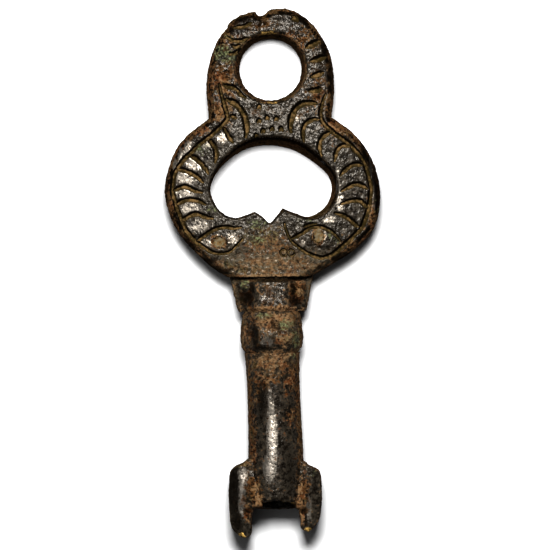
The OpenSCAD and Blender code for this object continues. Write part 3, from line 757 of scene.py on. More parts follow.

# %% [markdown]
# ## Where the bronze is worn, brown or green
#
# Burial and handling leave patches, not an even coat. Earth clings to corners and steep edges, green
# bloom to sheltered places, and soot to hollows. Soot is also laid as painted shade: under the bow's
# lower edge, on its inner wall just under the front, in the neck's grooves, in the pipe's mouth and
# along the bevels turned from the light. Dust lies on the brow, and down the sides of the shank pale
# dust also stands for a painted reflection. Clay fills the pupils, fingers polish the high bands, and
# the same polish is laid as painted highlights where a light is mirrored. A few tips are worn to bare
# yellow metal. Corrosion also swells into lumps on the neck, the bead and the shank. They could be
# painted on an image, but an image needs an unwrapped mesh. So each patch is a soft ellipse laid on the
# picture: middle, half width, half height and strength. A lump is its middle, radius and height. Every
# piece gets the patches as attributes on its points, and noise in the finish breaks their edges up later.

# %% Lumps and patches as pixels
LUMPS_PX = [(262, 290, 4, 0.2), (275, 293, 3.5, 0.2), (245, 286, 6, 0.6), (298, 292, 5, 0.6),
            (256, 305, 4, 0.3), (262, 318, 5, 0.2), (277, 316, 6, 0.15), (288, 322, 6, 0.25),
            (270, 334, 7, 0.25), (284, 340, 6, 0.2), (252, 334, 4, -0.2), (291, 357, 3.5, 0.2),
            (262, 386, 6, -0.12), (248, 299, 5, -0.15)]
PATCHES_PX = {
    "earth": [(272, 266, 44, 9, 0.68), (268, 244, 26, 14, 0.58), (216, 268, 24, 9, 0.55),
              (222, 80, 14, 20, 0.65), (228, 40, 16, 14, 0.40), (255, 24, 24, 10, 0.40),
              (300, 38, 16, 16, 0.50), (318, 60, 12, 18, 0.30), (316, 92, 15, 24, 0.40),
              (222, 113, 10, 14, 0.65), (338, 128, 13, 7, 0.7), (196, 128, 14, 8, 0.5),
              (186, 142, 6, 12, 0.4), (350, 246, 16, 9, 0.45), (372, 215, 6, 18, 0.5),
              (170, 205, 4, 25, 0.5), (190, 247, 12, 10, 0.55), (297, 290, 8, 12, 0.8),
              (243, 300, 6, 10, 0.6), (272, 309, 30, 3, 0.9), (233, 295, 4, 16, 0.6),
              (276, 322, 24, 9, 0.85), (284, 338, 14, 10, 0.6), (243, 335, 6, 16, 0.7),
              (272, 362, 28, 14, 0.62), (266, 378, 16, 10, 0.55), (284, 298, 8, 7, 0.3),
              (292, 376, 10, 18, 0.6), (258, 392, 6, 18, 0.45), (291, 415, 8, 12, 0.5),
              (252, 436, 5, 36, 0.6), (301, 430, 4, 60, 0.5), (254, 492, 7, 16, 0.7),
              (257, 500, 7, 8, 0.7), (302, 492, 5, 20, 0.75), (299, 504, 5, 10, 0.75),
              (272, 276, 30, 2.5, 1.0), (248, 513, 4, 8, 0.8), (302, 515, 4, 10, 0.8),
              (246, 464, 8, 3, 0.7), (219, 242, 7, 5, 1.3), (318, 236, 5, 7, 1.3)],
    "verdigris": [(222, 53, 11, 11, 0.8), (231, 58, 8, 6, 0.7), (268, 236, 24, 12, 0.50),
                  (262, 96, 16, 10, 0.35), (238, 48, 8, 6, 0.45), (228, 36, 8, 6, 0.45),
                  (247, 42, 8, 5, 0.4), (203, 150, 10, 8, 0.55), (212, 208, 8, 6, 0.5),
                  (257, 224, 12, 7, 0.60), (255, 238, 12, 8, 0.70), (230, 263, 13, 7, 0.5),
                  (240, 271, 10, 4, 0.5), (305, 222, 14, 5, 0.5), (336, 240, 6, 6, 0.6),
                  (376, 210, 4, 12, 0.5), (286, 325, 10, 6, 0.8), (296, 340, 7, 14, 0.7),
                  (264, 316, 9, 4, 0.8), (276, 335, 8, 5, 0.5), (288, 340, 8, 6, 0.5),
                  (293, 357, 5, 4, 0.7), (243, 466, 8, 4, 0.5), (313, 474, 6, 4, 0.6),
                  (245, 286, 6, 5, 0.75), (300, 290, 5, 4, 0.5), (254, 365, 4, 8, 0.5),
                  (330, 236, 6, 8, 0.5), (216, 92, 4, 4, 0.6)],
    # Polish: bands rubbed by fingers, and painted highlights where a light is mirrored: the shank streak,
    # the bit strips, the rim lines and the glints in the eyes and on the bead.
    "polish": [(196, 164, 13, 9, 0.66), (186, 178, 13, 8, 0.74), (186, 194, 13, 8, 0.72),
               (190, 209, 13, 8, 0.72), (198, 226, 15, 8, 0.70), (340, 200, 4, 14, 0.8),
               (371, 166, 2, 14, 0.8), (374, 195, 1.6, 18, 0.8), (242, 98, 5, 6, 0.45),
               (236, 112, 5, 12, 0.40), (297, 116, 4, 12, 0.5), (271, 294, 17, 12, 0.48),
               (243, 477, 5, 8, 1.2), (241.5, 492, 3.5, 18, 1.25), (242, 510, 3, 10, 1.1),
               (309, 508, 3, 14, 0.8), (270, 405, 3, 22, 0.62), (272, 440, 4.5, 30, 1.4),
               (269.5, 468, 5.5, 12, 1.3), (207, 145, 8, 6, 0.6), (222, 138, 7, 6, 0.7),
               (338, 186, 3, 22, 0.7), (323, 165, 4, 12, 0.5), (330, 219, 8, 4, 0.8),
               (267, 342, 6, 5, 0.8), (207, 243, 9, 5, 0.7), (219, 238, 18, 7, 0.5),
               (232, 238, 8, 7, 0.7), (303, 243, 2, 3, 1.0), (325, 236, 1.5, 5, 1.0),
               (270, 250, 30, 20, 0.14), (175, 166, 3, 8, 1.0), (181, 156, 3.5, 8, 1.0),
               (188, 147, 4, 7, 1.0), (270, 116, 24, 16, 0.36), (300, 130, 14, 14, 0.30)],
    # Dust on the brow, the neck and the bead; the two long strips down the sides of the shank are pale
    # dust and a painted reflection.
    "dusty": [(272, 263, 46, 12, 0.80), (264, 246, 24, 11, 0.50), (280, 326, 18, 12, 0.4),
              (270, 365, 20, 12, 0.3), (233.5, 294, 3, 14, 0.7), (309.5, 290, 3, 12, 0.6),
              (248, 410, 2.5, 48, 0.45), (301, 402, 2.5, 52, 0.45), (243, 336, 4, 14, 0.4)],
    "clay": [(219, 242, 6, 5, 1.0), (318.5, 235, 5, 7, 0.95), (287.5, 252.7, 8, 5, 0.5)],
    "bare": [(242, 535, 4, 3, 0.8), (309, 530, 4, 3, 0.8), (268, 33, 12, 4, 0.55),
             (225, 31, 5, 4, 0.45), (280, 503, 16, 2, 0.8), (271, 102, 12, 2, 0.5),
             (298, 296, 3, 3, 0.25)],
    # Soot, and painted shade: under the bow's lower edge, in the grooves beside the neck's facet, along
    # the bevels and rims turned from the light, round the lower rim, on the outer side of the left bit and
    # in the pipe's mouth.
    "soot": [(293, 247, 9, 8, 0.42), (262, 238, 12, 8, 0.30), (255, 22, 14, 7, 0.6),
             (291, 25, 10, 6, 0.5), (234, 490, 6, 28, 1.0), (238, 522, 6, 12, 0.8),
             (255, 335, 4, 14, 0.9), (262, 347, 12, 4, 0.8), (245, 299, 8, 8, 0.9),
             (276, 280, 22, 2.2, 1.0), (296, 302, 7, 6, 0.7), (252.5, 288, 2.5, 7, 0.9),
             (292.5, 289, 2, 7, 0.9), (239, 294, 1.6, 16, 0.5), (190, 248, 9, 8, 0.8),
             (206, 261, 13, 5, 0.8), (223, 271, 12, 4, 0.8), (340, 258, 14, 4, 0.8),
             (322, 267, 10, 4, 0.6), (312, 243, 11, 6, 0.6), (326, 247, 10, 3, 0.7),
             (375, 180, 4, 26, 0.9), (378, 190, 3.5, 30, 1.0), (166, 190, 3, 30, 0.6),
             (364, 150, 5, 12, 0.9), (370, 163, 4, 12, 0.9), (350, 256, 14, 5, 0.8),
             (185, 243, 8, 9, 0.7), (210, 268, 16, 5, 0.8), (240, 20, 12, 6, 0.8),
             (300, 18, 16, 7, 0.8), (325, 45, 6, 16, 0.8), (331, 80, 4, 26, 0.8), (240, 30, 10, 6, 0.7),
             (225, 70, 10, 12, 0.5), (320, 62, 8, 20, 0.55), (282, 18, 14, 7, 0.5),
             (262, 400, 6, 22, 0.7), (290, 470, 7, 30, 0.5), (283, 508, 16, 3, 0.9)]}
print("patches:", {kind: len(patches) for kind, patches in PATCHES_PX.items()})

# %% Store them on the pieces
# A pair says where a patch, a slope or an edge starts to count and where it counts in full.
LUMP_FALLOFF = 0.9
PATCH_FALLOFF = 0.7
FRONT_Z = (0.8, 2.6)
FACE_Z = (2.8, 4.2)
BEHIND = 0.35
STEEP = (0.80, 0.45)
RIM_W = 0.75
RIM_SOFT = 0.15
SHADED_LIP_W = (1.3, 0.9)
SHADED_LIP_Z = (2.4, 4.0)
STEEP_EARTH = 0.55
STEEP_RIM = 0.8
BASE_EARTH = {"suspension_loop": 0.15, "bow_plate": 0.0, "neck_collar": 0.22, "bead_collar": 0.25,
              "shank_pipe": 0.12, "left_bit": 0.1, "right_bit": 0.1}
BASE_SOOT = {"suspension_loop": 0.30, "bow_plate": 0.0, "neck_collar": 0.15, "bead_collar": 0.15,
             "shank_pipe": 0.12, "left_bit": 0.12, "right_bit": 0.12}
cad_high_mm = np.array(cad_high) / MM


def spot(points, x, y, half_w, half_h, falloff):
    """1 at a pixel of the picture, fading over an ellipse with these half sizes in pixels."""
    away = (points[:, :2] - from_photo((x, y))) / (np.array([half_w, half_h]) * MM_PER_PX)
    return np.exp(-falloff * (away ** 2).sum(axis=1))


def paint_patches(node, piece):
    """Raises the lumps, then stores each kind of patch on the points, strong in front and weak behind."""
    mesh = piece.data
    points = points_mm(mesh)
    normals = np.empty(points.size)
    mesh.vertex_normals.foreach_get("vector", normals)
    normals = normals.reshape(-1, 3)
    front = ease(points[:, 2], *FRONT_Z)
    swollen = np.zeros(len(points))
    for x, y, radius, height in LUMPS_PX:
        swollen += height * spot(points, x, y, radius, radius, LUMP_FALLOFF) * front
    if piece in (neck, bead, shank):
        place_points(mesh, np.minimum(points + normals * swollen[:, None], cad_high_mm))
    steep = ease(np.abs(normals[:, 2]), *STEEP)
    rim = STEEP_RIM * steep
    lip = np.zeros(len(points))
    if piece in (loop, bow):
        from_rim = distance_to(points[:, :2], rim_line)
        rim = np.maximum(steep, ease(from_rim, RIM_W + RIM_SOFT, RIM_W - RIM_SOFT))
    # On the bow, the inner wall just under the front edge gets painted shade, stored with the soot.
    if piece is bow:
        lip = steep * ease(distance_to(points[:, :2], inner_line), *SHADED_LIP_W) * ease(points[:, 2], *SHADED_LIP_Z)
    store(mesh, "rim", rim)
    base = {"earth": np.maximum(STEEP_EARTH * steep, BASE_EARTH[node]),
            "soot": np.maximum(lip, BASE_SOOT[node])}
    for kind, patches in PATCHES_PX.items():
        amount = base.get(kind, np.zeros(len(points)))
        seen = ease(points[:, 2], *FACE_Z) if kind == "bare" else BEHIND + (1 - BEHIND) * front
        for x, y, half_w, half_h, strength in patches:
            here = spot(points, x, y, half_w, half_h, PATCH_FALLOFF)
            amount = np.maximum(amount, strength * seen * here)
        store(mesh, kind, amount)


pieces = {"suspension_loop": loop, "bow_plate": bow, "neck_collar": neck, "bead_collar": bead,
          "shank_pipe": shank, "left_bit": left_bit, "right_bit": right_bit}
for node, piece in pieces.items():
    paint_patches(node, piece)
print("attributes on the bow:", [item.name for item in bow.data.attributes])

# %% [markdown]
# ## Node trees as sums
#
# A node tree is easier to read as arithmetic. One small class holds a socket, and each operator on it
# adds a Math node, so `1 - mask` is a node too. One method adds every other node: its type first, then
# its settings, then what goes into its sockets. The engraving and the patina both use it.

# %% A socket that can be added and multiplied


class Wire:
    """An output socket in a node tree. Arithmetic on it adds Math nodes to that tree."""

    def __init__(self, bench, socket):
        self.bench = bench
        self.socket = socket

    def __add__(self, other):
        return self.bench.math("ADD", self, other)

    def __sub__(self, other):
        return self.bench.math("SUBTRACT", self, other)

    def __rsub__(self, other):
        return self.bench.math("SUBTRACT", other, self)

    def __mul__(self, other):
        return self.bench.math("MULTIPLY", self, other)

    def __truediv__(self, other):
        return self.bench.math("DIVIDE", self, other)

    __radd__ = __add__
    __rmul__ = __mul__


class Bench:
    """A node tree to build in."""

    def __init__(self, tree):
        self.tree = tree

    def node(self, kind, settings, inputs, output=0):
        """Adds a node of this type: settings first, then values or wires for its sockets."""
        made = self.tree.nodes.new(kind)
        for key, value in settings.items():
            setattr(made, key, value)
        for key, value in inputs.items():
            if isinstance(value, Wire):
                self.tree.links.new(value.socket, made.inputs[key])
            else:
                made.inputs[key].default_value = value
        return Wire(self, made.outputs[output]) if made.outputs else made

    def math(self, operation, first, second=0.0):
        return self.node("ShaderNodeMath", {"operation": operation}, {0: first, 1: second})

    def step(self, value, low, high):
        """0 below low, 1 above high, smooth between."""
        settings = {"interpolation_type": "SMOOTHSTEP"}
        return self.node("ShaderNodeMapRange", settings, {0: value, 1: low, 2: high, 3: 0.0, 4: 1.0})

    def noise(self, place, scale, detail, roughness):
        return self.node("ShaderNodeTexNoise", {}, {0: place, 2: scale, 3: detail, 4: roughness})

    def vector(self, operation, first, second=(0.0, 0.0, 0.0), output=0):
        return self.node("ShaderNodeVectorMath", {"operation": operation}, {0: first, 1: second}, output)

    def scaled(self, vector, factor):
        return self.node("ShaderNodeVectorMath", {"operation": "SCALE"}, {0: vector, 3: factor})

    def most(self, *values):
        """The largest of several values."""
        largest = values[0]
        for value in values[1:]:
            largest = self.math("MAXIMUM", largest, value)
        return largest


print("bench methods:", [name for name in vars(Bench) if not name.startswith("_")])

# %% [markdown]
# ## Engrave and weather
#
# For each point of a piece the tree finds the nearest stroke as seen from the front, and sinks the point
# if it lies within the cut's half width. Noise makes the cut's edges ragged. Then corrosion moves the
# surface: soft swells and pits everywhere, a crust where earth sits, and hardly a pit on the polished
# bands and the painted highlights. Last, the tree compares each point with its blurred neighbours and
# keeps the difference as relief: a proud point is an edge that gets rubbed, and a low one is a corner
# where dirt stays and where painted shade goes. It also keeps which side of each slope is turned from
# the light, so that the finish lays the ochre filling towards the wall of a cut that faces the light, as
# painted light, and paints the other wall black, as shade.

# %% The engraving tree
tree = bpy.data.node_groups.new("engrave and weather", "GeometryNodeTree")
tree.is_modifier = True
for socket_name, socket_type in (("Geometry", "Geometry"), ("Strokes", "Object"), ("Pitting", "Float"),
                                 ("Finish", "Material")):
    tree.interface.new_socket(socket_name, in_out="INPUT", socket_type="NodeSocket" + socket_type)
tree.interface.new_socket("Geometry", in_out="OUTPUT", socket_type="NodeSocketGeometry")
form = Bench(tree)
given = tree.nodes.new("NodeGroupInput")
body, stroke_object, pitting, finish = (Wire(form, given.outputs[k]) for k in range(4))


def point_attribute(name):
    """A number that is stored on the points under this name."""
    return form.node("GeometryNodeInputNamedAttribute", {"data_type": "FLOAT"}, {0: name})


def keep(geometry, name, value):
    """The same geometry, with this value stored on its points."""
    settings = {"data_type": "FLOAT", "domain": "POINT"}
    return form.node("GeometryNodeStoreNamedAttribute", settings, {0: geometry, 2: name, 3: value})


place = form.node("GeometryNodeInputPosition", {}, {})
normal = form.node("GeometryNodeInputNormal", {}, {})
mm_place = form.scaled(place, 1 / MM)
print("sockets of the tree:", [item.name for item in tree.interface.items_tree])

# %% Sink the face along the strokes
flat_place = form.vector("MULTIPLY", place, (1.0, 1.0, 0.0))
lines = form.node("GeometryNodeObjectInfo", {"transform_space": "ORIGINAL"}, {0: stroke_object}, 4)
away = form.node("GeometryNodeProximity", {"target_element": "EDGES"}, {0: lines, 2: flat_place}, 1)
nearest = form.node("GeometryNodeSampleNearest", {"domain": "POINT"}, {0: lines, 1: flat_place})


def at_nearest(name):
    """What the nearest point of the strokes holds under this name."""
    settings = {"data_type": "FLOAT", "domain": "POINT"}
    return form.node("GeometryNodeSampleIndex", settings, {0: lines, 1: point_attribute(name), 2: nearest})


wobble = form.noise(mm_place, 1.6, 3.0, 0.6)
cut_reach = at_nearest("half_width") * (0.40 + 1.2 * wobble)
inside = form.step(1.0 - away / cut_reach, 0.0, 0.85)
facing = form.node("ShaderNodeSeparateXYZ", {}, {0: normal}, 2)
groove = inside * form.step(facing, 0.3, 0.7)
cut = form.node("ShaderNodeCombineXYZ", {}, {2: groove * at_nearest("cut_depth") * -1.0})
print("tree with strokes:", len(tree.nodes), "nodes")

# %% Weather the surface
SWELL_MM = 0.06
PIT_MM = 0.012
DECAYED_PIT_MM = 0.05
CRUST_MM = 0.52
earthed = point_attribute("earth")
decay = form.most(earthed, point_attribute("verdigris"))
swells = (form.noise(mm_place, 0.9, 4.0, 0.55) - 0.5) * SWELL_MM
# Fewer pits on the polished bands and under the painted highlights.
smooth_polish_and_glint = form.step(point_attribute("polish"), 0.35, 0.90)
pits = form.step(form.noise(mm_place, 4.5, 4.0, 0.6), 0.56, 0.72) * (PIT_MM + DECAYED_PIT_MM * decay)
pits = pits * (1.0 - 0.8 * smooth_polish_and_glint)
crust = (form.noise(mm_place, 2.0, 3.0, 0.5) - 0.5) * CRUST_MM * earthed
crust = crust * (1.0 - 0.7 * point_attribute("dusty"))
eaten = ((swells - pits) * pitting + crust) * MM
move = form.vector("ADD", cut, form.scaled(normal, eaten))
moved = form.node("GeometryNodeSetPosition", {}, {0: keep(body, "groove", groove), 3: move})
print("tree with weather:", len(tree.nodes), "nodes")

# %% Keep the relief and hand the piece on
AWAY_FROM_LIGHT = (0.45, -0.89, 0.0)
BLUR_STEPS = 24
blurred = form.node("GeometryNodeBlurAttribute", {"data_type": "FLOAT_VECTOR"},
                 {"Value": place, "Iterations": BLUR_STEPS})
stands = form.vector("DOT_PRODUCT", form.vector("SUBTRACT", place, blurred), normal, 1) / MM
# Which side of a slope is turned from the light, kept so that the finish can paint shade there.
lee = form.vector("DOT_PRODUCT", normal, AWAY_FROM_LIGHT, 1)
worn = keep(keep(moved, "relief", stands), "lee", lee)
solid = form.node("GeometryNodeRealizeInstances", {}, {0: worn})
dressed = form.node("GeometryNodeSetMaterial", {}, {0: solid, 2: finish})
tree.links.new(dressed.socket, tree.nodes.new("NodeGroupOutput").inputs[0])
print("whole tree:", len(tree.nodes), "nodes")

# %% [markdown]
# ## The patina
#
# The skin is almost black brown and glossy, like wax on metal. Rubbed places show silvery bronze, and a
# brighter silver is laid as painted highlights: the streak down the shank, the strips on the bits, thin
# lines on the rims and glints in the eyes and on the bead. Cuts hold ochre earth, laid towards the wall
# that faces the light as painted light, and their other wall is painted black as shade. Pits hold black
# soil, and the hollows of the relief are painted black as shade. Soot and painted shade darken recesses,
# the undersides of edges and the bevels turned from the light. Dust veils the brow, and down the sides of
# the shank it also stands for a painted reflection. Clay fills the pupils, and green bloom lies in
# patches. It could be seven materials, but it is one casting with one history, so one material reads the
# patches, the cuts and the relief, and lays its colours from the metal outwards. A waxed and an earthy
# shader share them, and a mask mixes the two.
# Noise lies on a grid along the axes. The fine relief turns that grid, or straight edges would show.

# %% Colours of the layers
BLACK_SKIN = (0.0040, 0.0027, 0.0014, 1.0)
BROWN_SKIN = (0.0295, 0.0248, 0.0185, 1.0)
RUBBED_METAL = (0.138, 0.124, 0.106, 1.0)
GLINT_METAL = (0.23, 0.208, 0.182, 1.0)
SOIL_BLACK = (0.0022, 0.0015, 0.0008, 1.0)
SOIL_RUST = (0.062, 0.0320, 0.0125, 1.0)
SOIL_RED = (0.066, 0.0275, 0.0110, 1.0)
SOIL_TAN = (0.135, 0.090, 0.050, 1.0)
DUST = (0.098, 0.083, 0.056, 1.0)
CUT_DARK = (0.0210, 0.0150, 0.0052, 1.0)
CUT_OCHRE = (0.092, 0.0615, 0.0285, 1.0)
BLOOM_DEEP = (0.0150, 0.0205, 0.0100, 1.0)
BLOOM_PALE = (0.104, 0.112, 0.062, 1.0)
BARE_YELLOW = (0.36, 0.245, 0.085, 1.0)

patina = bpy.data.materials.new("buried_bronze")
patina.use_nodes = True
patina.node_tree.nodes.clear()
coat = Bench(patina.node_tree)
print("colours laid on:", patina.name)

# %% Noise at several scales


def patch(name):
    """A patch, the cut, the side turned from the light or the relief, as the points hold it."""
    return coat.node("ShaderNodeAttribute", {"attribute_name": name}, {}, 2)


def elsewhere(*shift):
    """The same place, moved to another part of the noise."""
    return coat.vector("ADD", key_mm, shift)


object_place = coat.node("ShaderNodeTexCoord", {}, {}, 3)
key_mm = coat.scaled(object_place, 1 / MM)
cloud = coat.noise(key_mm, 0.55, 5.0, 0.6)
stain = coat.noise(elsewhere(5.0, 19.0, 3.0), 1.1, 4.0, 0.6)
mottle = coat.noise(key_mm, 1.5, 6.0, 0.66)
clod = coat.noise(elsewhere(11.0, 23.0, 7.0), 2.8, 3.0, 0.6)
grain = coat.noise(key_mm, 3.4, 4.0, 0.7)
dust = coat.noise(elsewhere(31.0, 7.0, 13.0), 3.4, 3.0, 0.65)
hair = coat.noise(coat.vector("MULTIPLY", key_mm, (5.0, 1.0, 3.0)), 1.2, 4.0, 0.7)
pit = coat.step(coat.noise(elsewhere(2.0, 3.0, 41.0), 2.6, 3.0, 0.6), 0.56, 0.62)
pit = pit * (1.0 - 0.5 * patch("dusty"))
print("patina with noise:", len(patina.node_tree.nodes), "nodes")

# %% Masks, from the patches, the cuts and the relief
broken = (mottle - 0.5) * 1.9 + (grain - 0.5) * 1.2
earth = coat.step(patch("earth") + broken, 0.30, 0.52)
bloom = coat.step(patch("verdigris") + broken * 0.8, 0.38, 0.74)
# Rubbed bronze, and painted highlights where the polish patches are strong.
rubbed_and_glint = coat.step(patch("polish") + (cloud - 0.5) * 0.5 + (hair - 0.5) * 0.8, 0.36, 0.62)
rubbed_and_glint = rubbed_and_glint * (1.0 - 0.60 * coat.step(dust, 0.54, 0.64))
rubbed_and_glint = rubbed_and_glint * (0.70 + 0.30 * coat.step(patch("polish"), 0.75, 0.95))
scratch = 0.4 * coat.step(hair, 0.62, 0.70) * coat.step(patch("polish"), 0.05, 0.40)
# Soot, together with painted shade in recesses and on sides turned from the light.
soot = coat.step(patch("soot") + broken * 0.8, 0.40, 0.70)
bare = coat.step(patch("bare") + broken * 0.7, 0.40, 0.75)
rim = patch("rim") * (1.0 - rubbed_and_glint)
cut = patch("groove")
# Painted shade along the shoulders of each cut.
cut_line = coat.step(cut, 0.02, 0.12)
# Ochre filling, laid towards the wall that faces the light: partly real earth, partly painted light.
cut_fill = coat.step(cut - 0.8 * patch("lee") + (grain - 0.5) * 0.9 + (clod - 0.5) * 0.7, 0.58, 0.88)
edge = coat.step(patch("relief") + (grain - 0.5) * 0.016, 0.012, 0.034)
corner = coat.step(0.0 - patch("relief") + (mottle - 0.5) * 0.012, 0.006, 0.022)
matt = coat.most(earth, corner * 0.8)
# Painted shade: black in the low hollows of the relief.
hollow_shade = coat.step(0.0 - patch("relief") + (grain - 0.5) * 0.03 + (mottle - 0.5) * 0.02, 0.012, 0.032)
clay = coat.step(patch("clay") + (grain - 0.5) * 0.7 + (dust - 0.5) * 0.5, 0.40, 0.60)
print("patina with masks:", len(patina.node_tree.nodes), "nodes")

# %% Colour of the skin, the rubbed metal and the soil


def blend_colour(share, under, over):
    """One colour laid over another by a share."""
    return coat.node("ShaderNodeMix", {"data_type": "RGBA"}, {0: share, 6: under, 7: over}, 2)


skin = blend_colour(coat.step(mottle + (grain - 0.5) * 0.5, 0.32, 0.66), BLACK_SKIN, BROWN_SKIN)
# The brightest silver is painted highlight: the streak, the strips and the glints.
silver = blend_colour(coat.step(patch("polish"), 0.92, 1.25), RUBBED_METAL, GLINT_METAL)
skin = blend_colour(coat.most(rubbed_and_glint, scratch), skin, silver)
rust = blend_colour(coat.step(cloud + (dust - 0.5) * 0.5, 0.42, 0.60), SOIL_RUST, SOIL_RED)
crusted = blend_colour(coat.step(clod + (grain - 0.5) * 0.4, 0.34, 0.56), SOIL_BLACK, rust)
pale = dust + edge * 0.22 + (stain - 0.5) * 0.3
crusted = blend_colour(0.75 * coat.step(pale, 0.52, 0.82) * (1.0 - 0.6 * patch("rim")), crusted, SOIL_TAN)
crusted = blend_colour(0.6 * coat.step(stain + (clod - 0.5) * 0.6, 0.54, 0.74), crusted, BLOOM_DEEP)
skin = blend_colour(rim, skin, blend_colour(coat.step(stain, 0.50, 0.62), SOIL_BLACK, crusted))
skin = blend_colour(matt, skin, crusted)
print("patina with soil:", len(patina.node_tree.nodes), "nodes")

# %% Colour of the dust, the cuts, the clay and the bloom
veil = blend_colour(coat.step(clod + (stain - 0.5) * 0.5, 0.44, 0.62), DUST, SOIL_TAN)
veil = blend_colour(0.85 * coat.step(mottle + (grain - 0.5) * 0.8, 0.50, 0.62), veil, BROWN_SKIN)
# The dust veil; down the sides of the shank it is also a painted reflection.
skin = blend_colour(patch("dusty") * (0.35 + 0.6 * coat.step(dust, 0.36, 0.64)), skin, veil)
# Black soil in the pits, and black painted shade in the hollows.
skin = blend_colour(coat.most(pit * 0.7, hollow_shade * 0.65), skin, SOIL_BLACK)
# Black soot and black painted shade.
skin = blend_colour(soot * 0.85, skin, SOIL_BLACK)
# The cut's shoulders: black painted shade on the wall turned from the light, dark brown on the lit wall.
cut_wall_shade = blend_colour(coat.step(patch("lee"), -0.25, 0.05), CUT_DARK, SOIL_BLACK)
skin = blend_colour(cut_line, skin, cut_wall_shade)
fill = blend_colour(coat.step(stain + (dust - 0.5) * 0.9, 0.38, 0.72), CUT_DARK, CUT_OCHRE)
skin = blend_colour(cut_fill, skin, fill)
skin = blend_colour(clay * 0.82, skin, blend_colour(coat.step(clod, 0.40, 0.60), CUT_OCHRE, DUST))
leaf_green = blend_colour(coat.step(dust + (clod - 0.5) * 0.7, 0.42, 0.70), BLOOM_DEEP, BLOOM_PALE)
flecks = coat.step(clod + (dust - 0.5) * 0.8, 0.40, 0.62)
skin = blend_colour(bloom * (0.25 + 0.6 * flecks), skin, leaf_green)
skin = blend_colour(bare, skin, BARE_YELLOW)
print("patina with colours:", len(patina.node_tree.nodes), "nodes")

# %% Gloss and fine relief
BUMP_MM = 0.09
OFF_AXIS = (0.6, 0.4, 0.9)
WAX_SPECULAR = 0.112
WAX_TINT = (1.0, 0.94, 0.86, 1.0)
EARTH_ROUGHNESS = 0.9
dull = coat.most(matt, pit * 0.8, cut_line, bloom, rim, soot * 0.7)
metal = coat.most(rubbed_and_glint, scratch, bare) * (1.0 - pit)
gloss = 0.27 + 0.08 * coat.step(mottle, 0.40, 0.70) + 0.10 * rubbed_and_glint + 0.08 * (grain - 0.5)
turned = coat.node("ShaderNodeVectorRotate", {"rotation_type": "EULER_XYZ"}, {0: key_mm, 4: OFF_AXIS})
dents = coat.noise(coat.vector("ADD", turned, (3.0, 17.0, 29.0)), 1.9, 1.0, 0.5)
ripples = coat.noise(coat.vector("ADD", turned, (13.0, 2.0, 37.0)), 3.9, 1.0, 0.5)
combed = coat.noise(coat.vector("MULTIPLY", key_mm, (4.5, 1.2, 3.0)), 1.0, 1.0, 0.5)
height = (dents - 0.5) * 0.9 + (ripples - 0.5) * 0.4 + (combed - 0.5) * 0.45 - pit * 0.25
height = height * (1.0 - 0.62 * coat.step(patch("polish"), 0.30, 0.75))
bump = coat.node("ShaderNodeBump", {}, {0: 1.0, 1: BUMP_MM * MM, 3: height})
waxed = coat.node("ShaderNodeBsdfPrincipled", {},
               {"Base Color": skin, "Metallic": metal, "Roughness": gloss, "Normal": bump,
                "Specular IOR Level": WAX_SPECULAR, "Specular Tint": WAX_TINT})
earthy = coat.node("ShaderNodeBsdfPrincipled", {},
                {"Base Color": skin, "Roughness": EARTH_ROUGHNESS, "Normal": bump,
                 "Specular IOR Level": 0.0})
shader = coat.node("ShaderNodeMixShader", {}, {0: dull, 1: waxed, 2: earthy})
coat.node("ShaderNodeOutputMaterial", {}, {0: shader})
print("whole patina:", len(patina.node_tree.nodes), "nodes")

# %% [markdown]
# ## Run the tree on every piece
#
# The tree's inputs are set by each socket's identifier before the piece is first evaluated. The result
# is copied into a plain mesh and the modifier is taken off, so what is handed on is only geometry.

# %% Apply engraving and patina
PITTING = {"suspension_loop": 2.4, "bow_plate": 1.0, "neck_collar": 3.0, "bead_collar": 3.0,
           "shank_pipe": 0.6, "left_bit": 1.4, "right_bit": 1.4}
CREASE_DEGREES = 50
socket_id = {item.name: item.identifier for item in tree.interface.items_tree if item.in_out == "INPUT"}
for node, piece in pieces.items():
    modifier = piece.modifiers.new("engrave and weather", "NODES")
    modifier.node_group = tree
    modifier[socket_id["Strokes"]] = strokes
    modifier[socket_id["Pitting"]] = PITTING[node]
    modifier[socket_id["Finish"]] = patina
    shaped = piece.evaluated_get(bpy.context.evaluated_depsgraph_get())
    piece.data = bpy.data.meshes.new_from_object(shaped)
    piece.modifiers.clear()
    piece.data.set_sharp_from_angle(angle=math.radians(CREASE_DEGREES))
    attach(piece, "root")
    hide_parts(node)
    print(node, len(piece.data.polygons), "faces")
bpy.data.objects.remove(strokes)

# %% [markdown]
# ## Floor, light and camera
#
# The key was photographed lying on white, from straight above. A small soft light hangs close over the
# loop, so its hole throws only a short shadow. A large one hangs higher on the left, so the left band
# mirrors it and the right band does not. Exposure and gamma then grade the picture: the floor burns out
# to white, with a soft shadow close round the metal, and the dark skin keeps its detail.

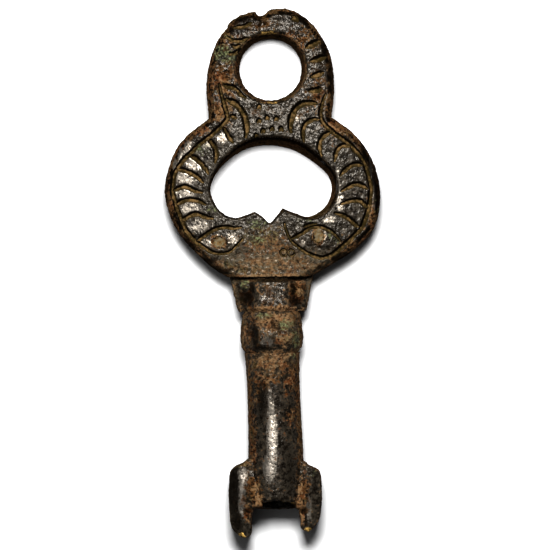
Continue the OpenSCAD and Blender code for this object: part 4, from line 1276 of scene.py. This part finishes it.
# %% Set the stage
FLOOR_SIDE = 4.0
FLOOR_GAP = 0.02
PAPER_GREY = (0.38, 0.38, 0.38, 1.0)
bpy.ops.mesh.primitive_plane_add(size=FLOOR_SIDE, location=(0, 0, -FLOOR_GAP * MM))
floor = bpy.context.object
floor.name = "floor"
paper = bpy.data.materials.new("white_paper")
paper.use_nodes = True
paper_shader = paper.node_tree.nodes["Principled BSDF"]
paper_shader.inputs["Base Color"].default_value = PAPER_GREY
paper_shader.inputs["Roughness"].default_value = 0.9
floor.data.materials.append(paper)
print("floor:", FLOOR_SIDE, "m wide")

# %% Hang the lights
KEY_PLACE = (0.0, 0.057, 0.165)
KEY_SIZE = (0.057, 0.045)
KEY_WATTS = 0.57
LEFT_PLACE = (-0.18, 0.03, 0.60)
LEFT_SIZE = (0.40, 0.42)
LEFT_WATTS = 0.31
STUDIO_GREY = (0.03, 0.03, 0.03, 1.0)


def soft_light(name, place, size, power):
    """A rectangular soft light that looks at the key."""
    lamp = bpy.data.lights.new(name, "AREA")
    lamp.shape = "RECTANGLE"
    lamp.size, lamp.size_y = size
    lamp.energy = power
    holder = bpy.data.objects.new(name, lamp)
    bpy.context.scene.collection.objects.link(holder)
    holder.location = place
    holder.rotation_euler = holder.location.to_track_quat("Z", "Y").to_euler()


soft_light("key_softbox", KEY_PLACE, KEY_SIZE, KEY_WATTS)
soft_light("left_softbox", LEFT_PLACE, LEFT_SIZE, LEFT_WATTS)
world = bpy.data.worlds.new("studio")
bpy.context.scene.world = world
world.use_nodes = True
world.node_tree.nodes["Background"].inputs["Color"].default_value = STUDIO_GREY
print("lights:", [lamp.name for lamp in bpy.data.lights])

# %% Place the camera
PHOTO_SIDE_PX = 550
PHOTO_CENTRE_PX = (275.0, 275.0)
CAMERA_UP = 0.45
SENSOR = 36.0
EXPOSURE = 1.09
GAMMA = 0.74
camera = bpy.data.objects.new("camera", bpy.data.cameras.new("camera"))
bpy.context.scene.collection.objects.link(camera)
camera.data.sensor_width = SENSOR
camera.data.lens = SENSOR * (CAMERA_UP - plate_t * MM) / (PHOTO_SIDE_PX * MM_PER_PX * MM)
camera_x, camera_y = from_photo(PHOTO_CENTRE_PX) * MM
camera.location = (camera_x, camera_y, CAMERA_UP)
camera.rotation_euler = (0, 0, -lean)
bpy.context.scene.camera = camera
bpy.context.scene.view_settings.view_transform = "Standard"
bpy.context.scene.view_settings.exposure = EXPOSURE
bpy.context.scene.view_settings.gamma = GAMMA
print("lens, mm:", round(camera.data.lens, 1))

# %% [markdown]
# The dressed key has to stay as large as the solids it stands for.
